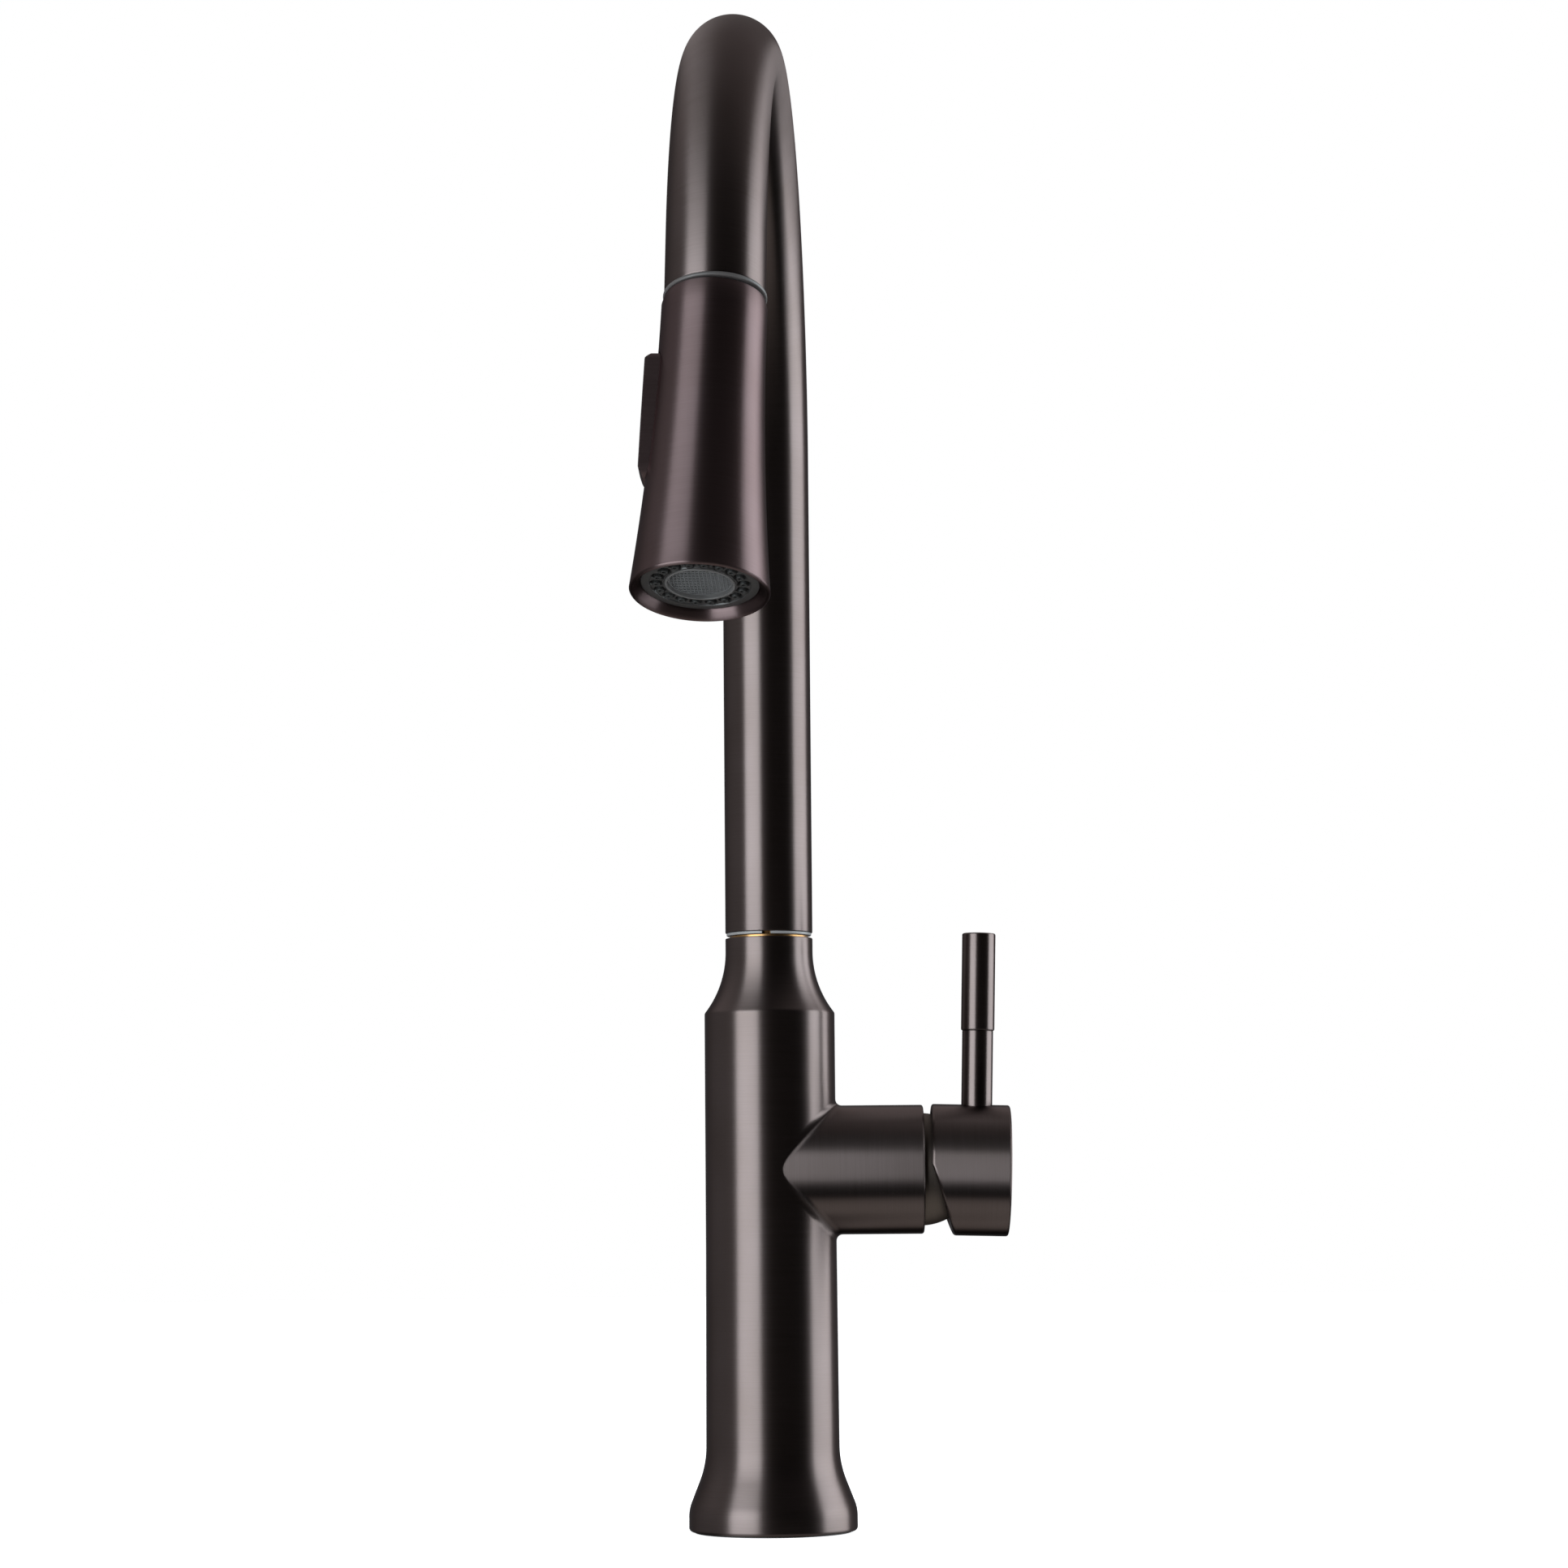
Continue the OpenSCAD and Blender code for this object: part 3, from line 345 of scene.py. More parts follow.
def spread(tree: bpy.types.NodeTree, value: bpy.types.NodeSocket, low: float,
           high: float) -> bpy.types.NodeSocket:
    """Maps a noise value onto a range."""
    node = add_node(tree, "ShaderNodeMapRange", {0: value, 1: 0.3, 2: 0.7, 3: low, 4: high})
    return node.outputs[0]


def noise(tree: bpy.types.NodeTree, where: bpy.types.NodeSocket, grain_mm: Sequence[float],
          detail: float = 2.0) -> bpy.types.NodeSocket:
    """Noise whose spots measure about grain_mm along each axis."""
    mapping = add_node(tree, "ShaderNodeMapping", {"Vector": where, "Scale": tuple(1 / (g * MM) for g in grain_mm)})
    spots = {"Vector": mapping.outputs[0], "Scale": 1.0, "Detail": detail}
    return add_node(tree, "ShaderNodeTexNoise", spots).outputs[0]


def blank_material(name: str) -> tuple[bpy.types.Material, bpy.types.NodeTree, bpy.types.Node]:
    """A new material with its tree and its principled shader."""
    material = bpy.data.materials.new(name)
    material.use_nodes = True
    return material, material.node_tree, material.node_tree.nodes["Principled BSDF"]


def wire(tree: bpy.types.NodeTree, shader: bpy.types.Node, **sockets: object) -> None:
    """Sets or links the shader's sockets, with underscores for the spaces in their names."""
    for name, value in sockets.items():
        socket = shader.inputs[name.replace("_", " ")]
        if isinstance(value, bpy.types.NodeSocket):
            tree.links.new(value, socket)
        else:
            socket.default_value = value


def bump(tree: bpy.types.NodeTree, height: bpy.types.NodeSocket, depth_mm: float) -> bpy.types.NodeSocket:
    """A normal from a height whose full step is depth_mm."""
    step = {"Height": height, "Distance": depth_mm * MM, "Strength": 1.0}
    return add_node(tree, "ShaderNodeBump", step).outputs[0]


@dataclass(frozen=True)
class BrushedBronze:
    """Oil-rubbed bronze, vapour-plated over brass and polished with a belt while the piece turned.

    The fine lines run round each piece, so highlights are crisp round it and drawn out along its axis. Real
    lines are some 0.05 mm apart, too fine to show, so line_mm draws them coarser.
    """

    name: str
    dark: str = "#564d4b"
    light: str = "#5c5352"
    edge: str = "#c4c0c0"
    roughness: float = 0.372
    anisotropy: float = 0.90
    line_mm: float = 0.3
    depth_mm: float = 0.0012
    scatter: float = 0.015

    def make(self) -> bpy.types.Material:
        """Builds the material, which reads the grain that lay_grain stored."""
        material, tree, shader = blank_material(self.name)
        turned = add_node(tree, "ShaderNodeAttribute", attribute_name="turned").outputs["Vector"]
        axis = add_node(tree, "ShaderNodeAttribute", attribute_name="grain").outputs["Vector"]
        lines = noise(tree, turned, (self.line_mm, 14, 14), 4.0)
        cloud = noise(tree, turned, (22, 15, 15), 1.0)
        both = add_node(tree, "ShaderNodeMath", {0: lines, 1: cloud}, operation="ADD").outputs[0]
        tone = add_node(tree, "ShaderNodeMapRange", {0: both, 1: 0.7, 2: 1.3, 3: 0.0, 4: 1.0}).outputs[0]
        wire(tree, shader, Base_Color=shades(tree, tone, self.dark, self.light), Metallic=1.0,
             Roughness=spread(tree, lines, self.roughness - self.scatter, self.roughness + self.scatter),
             Specular_Tint=linear(self.edge), Anisotropic=self.anisotropy, Tangent=axis,
             Normal=bump(tree, lines, self.depth_mm))
        return material


@dataclass(frozen=True)
class TurnedMetal:
    """Bare metal as it leaves the lathe or the mill, with fine tool lines and slightly uneven colour."""

    name: str
    dark: str
    light: str
    roughness: float
    line_mm: Sequence[float] = (20, 20, 0.3)

    def make(self) -> bpy.types.Material:
        """Builds the material on object coordinates."""
        material, tree, shader = blank_material(self.name)
        place_of = add_node(tree, "ShaderNodeTexCoord").outputs["Object"]
        lines = noise(tree, place_of, self.line_mm, 3.0)
        patina = noise(tree, place_of, (6, 6, 6), 2.0)
        wire(tree, shader, Base_Color=shades(tree, patina, self.dark, self.light), Metallic=1.0,
             Roughness=spread(tree, lines, self.roughness - 0.07, self.roughness + 0.07),
             Normal=bump(tree, lines, 0.004))
        return material


@dataclass(frozen=True)
class Moulded:
    """Moulded plastic or rubber: one body colour with a faint cast of its own, and a fine pebbled skin."""

    name: str
    dark: str
    light: str
    roughness: float
    pebble_mm: float = 0.35
    depth_mm: float = 0.01
    ior: float = 1.5

    def make(self) -> bpy.types.Material:
        """Builds the material on object coordinates."""
        material, tree, shader = blank_material(self.name)
        place_of = add_node(tree, "ShaderNodeTexCoord").outputs["Object"]
        pebbles = noise(tree, place_of, (self.pebble_mm,) * 3, 2.0)
        cloud = noise(tree, place_of, (7, 7, 7), 2.0)
        wire(tree, shader, Base_Color=shades(tree, cloud, self.dark, self.light), IOR=self.ior,
             Roughness=spread(tree, pebbles, self.roughness - 0.06, self.roughness + 0.06),
             Normal=bump(tree, pebbles, self.depth_mm))
        return material


@dataclass(frozen=True)
class Braid:
    """Nylon yarn braided over a rubber hose: strands cross over and under in a fine diamond pattern."""

    name: str
    dark: str = "#141415"
    light: str = "#4b4c50"
    strands: int = 12
    lay_mm: float = 9.0
    starts: int = 3
    depth_mm: float = 0.25

    def make(self) -> bpy.types.Material:
        """Builds the material, which reads the place along and round the hose that lay_grain stored."""
        material, tree, shader = blank_material(self.name)
        turned = add_node(tree, "ShaderNodeAttribute", attribute_name="turned").outputs["Vector"]
        parts = add_node(tree, "ShaderNodeSeparateXYZ", {0: turned}).outputs

        def sum_of(operation: str, *values: object) -> bpy.types.NodeSocket:
            """One step of arithmetic on these values."""
            return add_node(tree, "ShaderNodeMath", dict(enumerate(values)), operation=operation).outputs[0]

        phase = sum_of("MULTIPLY", sum_of("ARCTAN2", parts[1], parts[2]), float(self.strands))
        climb = sum_of("MULTIPLY", parts[0], 2 * math.pi / (self.lay_mm * MM) * self.starts)
        waves = [sum_of("SINE", sum_of(way, phase, climb)) for way in ("ADD", "SUBTRACT")]
        weave = sum_of("MULTIPLY", *waves)
        height = add_node(tree, "ShaderNodeMapRange", {0: weave, 1: -1.0, 2: 1.0, 3: 0.0, 4: 1.0}).outputs[0]
        wire(tree, shader, Base_Color=shades(tree, height, self.dark, self.light), Roughness=0.62,
             Sheen_Weight=0.2, Normal=bump(tree, height, self.depth_mm))
        return material


class Paint:
    """The faucet's finishes by the record's material slots, each made once."""

    FINISHES = {
        # dark plated metal, satin, neutral grey in the highlights and brown in the shade
        "body_bronze": BrushedBronze("brushed oil-rubbed bronze"),
        # the cartridge cover is plated too, lighter and duller
        "dome_bronze": BrushedBronze(
            "satin bronze cover", dark="#57504b", light="#615954", roughness=0.5, anisotropy=0.3),
        # plated ABS comes out browner than plated brass
        "head_bronze": BrushedBronze("brushed bronze plate on ABS", dark="#554848", light="#5b4e4f"),
        # yellow brass, bright where light catches the lathe lines
        "raw_brass": TurnedMetal("turned brass", "#7f5c38", "#a07d52", 0.28),
        # grey and sharp
        "stainless": TurnedMetal("turned stainless steel", "#a6a7aa", "#c3c3c5", 0.32),
        # matt black with no clear highlight
        "black_rubber": Moulded("moulded EPDM rubber", "#0d0d0d", "#1a1a1a", 0.62, 0.5, 0.012),
        # deep black with a soft sheen
        "black_plastic": Moulded("moulded black acetal", "#161617", "#232324", 0.42),
        # the spray face: a finer skin, with a faint sheen
        "face_plastic": Moulded("satin black ABS", "#171616", "#242323", 0.38, 0.25, 0.006),
        # slippery unpainted plastic, which catches the light in the gap under the spout
        "grey_plastic": Moulded("natural grey acetal", "#5b5a5b", "#6c6b6c", 0.42),
        # valve inserts are coloured by their maker, never seen in use
        "blue_plastic": Moulded("blue-grey acetal", "#6f8290", "#8294a1", 0.4),
        "cartridge_plastic": Moulded("ivory acetal", "#cfcaba", "#dedacd", 0.4),
        # the docking gasket is a softer grey than the plating round it
        "grey_gasket": Moulded("grey TPE gasket", "#302d2d", "#3f3c3c", 0.5, 0.3, 0.006),
        # glossier and lighter than the face round it
        "aerator_plastic": Moulded("grey acetal aerator", "#343333", "#444343", 0.34, 0.3, 0.004),
        "screen_plastic": Moulded("grey acetal screen", "#3a3a3b", "#4c4c4d", 0.42, 0.3, 0.004),
        # lapped alumina, smooth and off-white
        "ceramic": Moulded("lapped alumina", "#e0dccf", "#ece8dd", 0.15, 0.2, 0.001, 1.76),
        # grey diamonds on black
        "hose_braid": Braid("braided nylon over rubber"),
    }

    def __init__(self) -> None:
        """Starts with nothing made."""
        self.made: dict[str, bpy.types.Material] = {}

    def get(self, slot: str) -> bpy.types.Material:
        """The material of a slot, made at its first use."""
        if slot not in self.made:
            self.made[slot] = self.FINISHES[slot].make()
        return self.made[slot]

    def dress(self, piece: Piece, slot: str, body: str, *nodes: str) -> Piece:
        """Gives a new piece its finish and its body, and the CAD nodes that it stands for."""
        piece.data.materials.clear()
        piece.data.materials.append(self.get(slot))
        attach(piece, body)
        if nodes:
            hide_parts(*nodes)
        log.info("%s: %d faces, finish %s, rides on %s", piece.name, len(piece.data.polygons), slot, body)
        return piece

    def dress_frame(self) -> None:
        """Gives every CAD node that stays in view its slot's material."""
        for part in frame["record"]["subparts"]:
            node = frame["nodes"][part["node"]]
            slot = part["material_slot"]
            if node.hide_render or isinstance(self.FINISHES[slot], (BrushedBronze, Braid)):
                continue
            node.data.materials.clear()
            node.data.materials.append(self.get(slot))
            log.info("%s keeps its CAD shape, finish %s", node.name, slot)


# ---------------------------------------------------------------- body

@dataclass
class Body:
    """The cast body with its valve branch, its swivel bush and the threaded shank under it."""

    paint: Paint
    barrel_r: float = 21 * MM
    barrel_draft: float = 0.3 * MM
    foot_round: float = 12 * MM
    foot_fillet: float = 30 * MM
    foot_angle: float = 21.5
    foot_rim: float = 5.1 * MM
    foot_edge: float = 1.2 * MM
    neck_land: float = 4.3 * MM
    neck_fillet: float = 32 * MM
    neck_r: float = 14.1 * MM
    shoulder_edge: float = 1.5 * MM
    fillet_top: float = 2.0 * MM
    fillet_side: float = 7.0 * MM
    branch_edge: float = 0.8 * MM
    bore_r: float = 18.5 * MM
    bush_r: float = 12 * MM
    bush_wall: float = 1.4 * MM
    brass_r: float = 12.7 * MM
    hose_hole_r: float = 7 * MM
    screw_hole_r: float = 2.05 * MM
    play: float = 0.5 * MM
    pitch: float = 1.5 * MM
    thread_depth: float = 0.8 * MM
    shank_wall: float = 2 * MM
    sides: int = 192

    def __post_init__(self) -> None:
        """Reads the levels that the frame fixes."""
        low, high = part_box("body_casting")
        self.seat_z, self.top_z = low.z, high.z
        self.foot_r, self.branch_x = -low.x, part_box("valve_socket")[1].x
        self.valve_z = valve_pivot().z
        nut_low, nut_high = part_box("cartridge_nut")
        self.nut_x, self.nut_r = nut_low.x, (nut_high.z - nut_low.z) / 2
        seat_low, seat_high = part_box("cartridge_housing")
        self.pocket_x, self.pocket_r = seat_low.x, (seat_high.z - seat_low.z) / 2 + 0.15 * MM
        self.branch_r = self.pocket_r + 3.1 * MM

    def outline(self) -> list[Point]:
        """Half of the barrel's section, from the foot's underside to the top of the neck."""
        slope = self.foot_angle
        lean = math.radians(slope)
        rise = self.foot_rim + self.foot_round * math.sin(lean)
        low_r = self.barrel_r + self.barrel_draft
        step = (self.foot_r - low_r) - (self.foot_round + self.foot_fillet) * (1 - math.cos(lean))
        flare_top = rise + step / math.tan(lean) + self.foot_fillet * math.sin(lean)
        neck_z = self.top_z - self.neck_land
        out = self.neck_fillet - (self.barrel_r - self.neck_r) + self.shoulder_edge
        edge_z = neck_z - math.sqrt((self.neck_fillet + self.shoulder_edge) ** 2 - out ** 2)
        turn = math.degrees(math.atan2(neck_z - edge_z, out))
        rim = 0.35 * MM
        return [
            *arc((self.foot_r - self.foot_edge, self.seat_z + self.foot_edge), self.foot_edge, -90, 0, 6),
            *arc((self.foot_r - self.foot_round, self.foot_rim), self.foot_round, 0, slope, 8),
            *arc((low_r + self.foot_fillet, flare_top), self.foot_fillet, 180 + slope, 180, 14),
            (self.barrel_r, self.valve_z - 1.3 * self.branch_r),
            (self.barrel_r, self.valve_z + 1.4 * self.branch_r),
            *arc((self.barrel_r - self.shoulder_edge, edge_z), self.shoulder_edge, 0, turn, 6),
            *arc((self.neck_r + self.neck_fillet, neck_z), self.neck_fillet, 180 + turn, 180, 20),
            *arc((self.neck_r - rim, self.top_z - rim), rim, 0, 90, 4),
        ]

    def fillet_point(self, turn: float, share: float) -> Vector:
        """A point on the cast fillet between branch and barrel.

        Args:
            turn: angle round the branch, in radians.
            share: 0 where the fillet meets the branch, 1 where it meets the barrel.
        Returns:
            The point, from the body's axis at the branch's height.
        """
        ball = self.fillet_top + (self.fillet_side - self.fillet_top) * math.sin(turn) ** 2
        reach = self.branch_r + ball
        y, z = reach * math.sin(turn), reach * math.cos(turn)
        centre = Vector((math.sqrt((self.barrel_r + ball) ** 2 - y * y), y, z))
        to_branch = Vector((0, -y, -z)).normalized()
        to_barrel = Vector((-centre.x, -y, 0)).normalized()
        return centre + ball * to_branch.slerp(to_barrel, share)

    def branch(self) -> Piece:
        """The solid branch, whose inner rings sweep out into the fillet and end inside the barrel."""
        steps = 8
        edge = self.branch_edge
        rings = [self.branch_x * 0.82 - i * 1 * MM for i in range(steps + 2)]
        rim = arc((self.branch_r - edge, self.branch_x - edge), edge, 90, 0, 5)
        outline = [*rim, *[(self.branch_r, x) for x in rings]]
        piece = lathe("branch", outline, self.sides, closed=False)
        place(piece, Matrix(((0, 0, 1, 0), (0, 1, 0, 0), (-1, 0, 0, 0), (0, 0, 0, 1))))
        for vertex in piece.data.vertices:
            index = min(range(len(rings)), key=lambda i: abs(rings[i] - vertex.co.x))
            if abs(rings[index] - vertex.co.x) > 1e-5:
                continue
            turn = math.atan2(vertex.co.y, vertex.co.z)
            if index <= steps:
                vertex.co = self.fillet_point(turn, index / steps)
            else:
                foot = self.fillet_point(turn, 1)
                vertex.co = Vector((foot.x * 0.8, foot.y * 0.8, foot.z))
        return place(piece, Matrix.Translation((0, 0, self.valve_z)))

    def casting(self) -> Piece:
        """The casting: barrel and branch joined, then bored and drilled as it is machined."""
        piece = lathe("body_shell", self.outline(), self.sides, closed=False)
        carve(piece, self.branch(), Cut.JOIN, weld=8e-6)
        centre = Vector((0, 0, self.valve_z))
        floor_z, roof_z = self.valve_z - self.branch_r, self.valve_z + self.branch_r
        neck_z = self.top_z - 24 * MM
        shank_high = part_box("shank")[1]
        lower = lathe("lower_bore", [
            (shank_high.x - self.play, -1 * MM), (shank_high.x - self.play, shank_high.z + self.play),
            (self.bore_r, shank_high.z + self.play), (self.bore_r, floor_z)], closed=False)
        upper = lathe("upper_bore", [
            (self.bore_r, roof_z), (self.bore_r, neck_z - 7 * MM), (self.bush_r, neck_z - 1 * MM),
            (self.bush_r, self.top_z + 1 * MM)], closed=False)
        right = Vector((1, 0, 0))
        tools = [
            lower, upper,
            rod("pocket", self.pocket_r, centre + right * self.pocket_x, centre + right * 0.06, 128),
            rod("nut_recess", self.nut_r, centre + right * (self.nut_x - 0.5 * MM), centre + right * 0.06, 128),
        ]
        for tool in tools:
            carve(piece, tool)
        hose_low, hose_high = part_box("hose_inlet_fitting")
        hose_x = (hose_low.x + hose_high.x) / 2
        carve(piece, rod("hose_channel", self.hose_hole_r, Vector((hose_x, 0, floor_z - 1 * MM)),
                         Vector((hose_x, 0, roof_z + 1 * MM))))
        for mount in frame["record"]["mounts"]:
            if mount["kind"] != "threaded_hole":
                continue
            mouth, sizes = Vector(mount["pos_m"]), mount["dims"]
            carve(piece, rod("port", sizes["r_mm"] * MM, mouth - Vector((0, 0, 1 * MM)),
                             mouth + Vector((0, 0, sizes["length_mm"] * MM)), 48))
        screw_low, screw_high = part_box("spout_set_screw")
        screw = (screw_low + screw_high) / 2
        carve(piece, rod("screw_hole", self.screw_hole_r, Vector((0, 0, screw.z)), Vector((0, 0.03, screw.z)), 32))
        lay_grain(piece, self.grain)
        return self.paint.dress(piece, "body_bronze", "body", "body_casting", "valve_socket")

    def grain(self, point: Vector) -> tuple[Vector, Vector]:
        """Grain of the casting: round the branch, round the barrel, and turning over in the fillet."""
        drop = point.z - self.valve_z
        off_branch = abs(math.hypot(point.y, drop) - self.branch_r)
        off_barrel = abs(math.hypot(point.x, point.y) - self.barrel_r)
        if point.x < 0 or abs(drop) > self.branch_r + self.fillet_side:
            return Vector((point.z, point.x, point.y)), Vector((0, 0, 1))
        share = off_branch / max(off_branch + off_barrel, 1e-6)
        axis = Vector((1 - share, 0, share)).normalized()
        if share < 0.5:
            return Vector((point.x, point.y, drop)), axis
        return Vector((point.z, point.x, point.y)), axis

    def bush(self) -> Piece:
        """The brass bush that lines the neck; only its flange shows, as a line under the spout."""
        low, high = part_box("neck_bush")
        edge = 0.15 * MM
        bore = self.bush_r - self.bush_wall
        piece = lathe("swivel_bush", [
            (bore, low.z), (self.bush_r - 0.01 * MM, low.z), (self.bush_r - 0.01 * MM, self.top_z),
            (self.brass_r, self.top_z), *arc((self.brass_r - edge, high.z - edge), edge, 0, 90, 3), (bore, high.z)])
        return self.paint.dress(piece, "raw_brass", "body", "neck_bush")

    def threads(self) -> Piece:
        """The brass shank with its two threaded stretches."""
        low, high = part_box("shank")
        outer = high.x
        minor = outer - self.thread_depth
        bore = outer - self.shank_wall
        nut_z = -38 * MM
        runout_z = -3 * MM
        lip_z = 0.4 * MM
        lead_in = 0.6 * MM
        core = lathe("threaded_shank", [
            (bore, low.z), (minor - lead_in, low.z), (minor, low.z + lead_in), (minor, runout_z),
            (outer, runout_z + 1 * MM), (outer, lip_z), (outer - self.play, lip_z),
            (outer - self.play, high.z - self.play), (outer - 2 * self.play, high.z), (bore, high.z)])
        runs = [(low.z + self.pitch, nut_z), (nut_z + 2 * MM, runout_z - self.pitch)]
        ridges = [self.ridge(minor, start, int((end - start) / self.pitch)) for start, end in runs]
        return self.paint.dress(join("threaded_shank", [core, *ridges]), "raw_brass", "body", "shank")

    def ridge(self, minor: float, start: float, turns: int) -> Piece:
        """One helical thread: a small section wound up the shank.

        Args:
            minor: radius at the thread's root.
            start: height of its first turn.
            turns: number of turns.
        Returns:
            The helical ridge.
        """
        half = self.pitch / 2
        low = Vector((minor - 0.2 * MM, 0, start))
        clear_selection()
        bpy.ops.mesh.primitive_plane_add(size=1, location=(0, 0, 0))
        piece = bpy.context.object
        piece.name = "thread"
        crest = self.thread_depth + 0.2 * MM
        corners = [Vector((0, 0, -half * 0.95)), Vector((crest, 0, -half * 0.15)),
                   Vector((0, 0, half * 0.95)), Vector((crest, 0, half * 0.15))]
        for vertex, corner in zip(piece.data.vertices, corners):
            vertex.co = low + corner
        apply_modifier(piece, "SCREW", axis="Z", screw_offset=self.pitch, iterations=turns, steps=48, render_steps=48,
                       use_merge_vertices=False, use_smooth_shade=False)
        activate(piece)
        bpy.ops.object.mode_set(mode="EDIT")
        finish_mesh()
        return piece

    def build(self) -> None:
        """Builds every piece of the body."""
        self.casting()
        self.bush()
        self.threads()


# ---------------------------------------------------------------- spout

@dataclass
class Spout:
    """The gooseneck tube, the slip ring under it and the docking gasket on its end."""

    paint: Paint
    tube_r: float = 14.1 * MM
    wall: float = 1.3 * MM
    goose_r: float = 102.5 * MM
    goose_angle: float = 164.0
    tail: float = 19.3 * MM
    ring_r: float = 13.7 * MM
    ring_w: float = 3 * MM
    split: float = 2.8 * MM
    gasket_h: float = 1.2 * MM
    gasket_w: float = 4.6 * MM
    sides: int = 160

    def __post_init__(self) -> None:
        """Reads the spout's swing and levels from the frame."""
        self.dock = head_placement()
        end = self.dock.translation
        self.swing = Matrix.Rotation(math.atan2(end.x, -end.y), 4, "Z")
        self.foot_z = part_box("spout_tube")[0].z
        bend = math.radians(self.goose_angle)
        self.goose_z = end.z - self.goose_r * math.sin(bend) - self.tail * math.cos(bend)
        self.axis = Vector((0, -math.sin(bend), math.cos(bend)))

    def centreline(self, point: Vector) -> tuple[Vector, Vector]:
        """Place along and across the bent tube, and the tube's direction there, for the polishing grain."""
        local = self.swing.inverted() @ point
        if local.y > -self.goose_r and local.z < self.goose_z:
            return Vector((local.z, local.x, local.y)), Vector((0, 0, 1))
        across, up = local.y + self.goose_r, local.z - self.goose_z
        turn = math.atan2(up, across) % (2 * math.pi)
        bend = math.radians(self.goose_angle)
        side = Vector((0, math.cos(min(turn, bend)), math.sin(min(turn, bend))))
        reach = Vector((0, across, up))
        along = Vector((0, -side.z, side.y))
        run = self.goose_z + self.goose_r * min(turn, bend) + (reach.dot(along) if turn > bend else 0)
        return Vector((run, local.x, reach.dot(side) - self.goose_r)), self.swing.to_3x3() @ along

    def tube(self) -> Piece:
        """The spout: a circle drawn up the riser, spun round the bend and drawn out to the dock."""
        clear_selection()
        bpy.ops.mesh.primitive_circle_add(
            vertices=self.sides, radius=self.tube_r, fill_type="NOTHING", location=(0, 0, self.foot_z))
        piece = bpy.context.object
        piece.name = "gooseneck_tube"
        bpy.ops.object.transform_apply(location=True)
        bpy.ops.object.mode_set(mode="EDIT")
        bpy.ops.mesh.select_all(action="SELECT")
        stretches = 6
        for _ in range(stretches):
            extrude_ring(1.0, 0.0, (self.goose_z - self.foot_z) / stretches)
        bpy.ops.mesh.spin(
            steps=110, angle=-math.radians(self.goose_angle), center=(0, -self.goose_r, self.goose_z), axis=(1, 0, 0))
        bpy.ops.mesh.extrude_edges_move()
        bpy.ops.transform.translate(value=self.axis * self.tail)
        finish_mesh(weld=1e-6)
        apply_modifier(piece, "SOLIDIFY", thickness=self.wall, offset=-1.0, use_even_offset=True)
        round_edges(piece, 0.3 * MM, 3, 60)
        place(piece, self.swing)
        lay_grain(piece, self.centreline)
        return self.paint.dress(piece, "body_bronze", "spout", "spout_tube", "spout_outlet")

    def slip_ring(self) -> Piece:
        """The split acetal ring that the spout slides round on."""
        low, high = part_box("slip_ring")
        inner = self.ring_r - self.ring_w
        edge = 0.2 * MM
        piece = lathe("slip_ring", [
            (inner, low.z), *arc((self.ring_r - edge, low.z + edge), edge, -90, 0, 3),
            *arc((self.ring_r - edge, high.z - edge), edge, 0, 90, 3), (inner, high.z)])
        cutter = block("split", Vector((-self.split / 2, -self.ring_r - 1 * MM, low.z - 1 * MM)),
                       Vector((self.split / 2, 0, high.z + 1 * MM)))
        carve(piece, cutter)
        place(piece, self.swing)
        return self.paint.dress(piece, "grey_plastic", "spout", "slip_ring")

    def gasket(self) -> Piece:
        """The soft ring on the tube's end that the head docks against."""
        thick, edge = self.gasket_h, 0.45 * MM
        outer = self.tube_r + 0.3 * MM
        inner = outer - self.gasket_w
        piece = lathe("docking_gasket", [
            (inner, 0), *arc((outer - edge, edge), edge, -90, 0, 4),
            *arc((outer - edge, thick - edge), edge, 0, 90, 4), (inner, thick)])
        lean = self.swing @ Matrix.Rotation(math.radians(self.goose_angle), 4, "X")
        place(piece, Matrix.Translation(self.dock.translation) @ lean)
        return self.paint.dress(piece, "grey_gasket", "spout", "dock_gasket")

    def build(self) -> None:
        """Builds every piece of the spout."""
        self.tube()
        self.slip_ring()
        self.gasket()


# ---------------------------------------------------------------- spray head

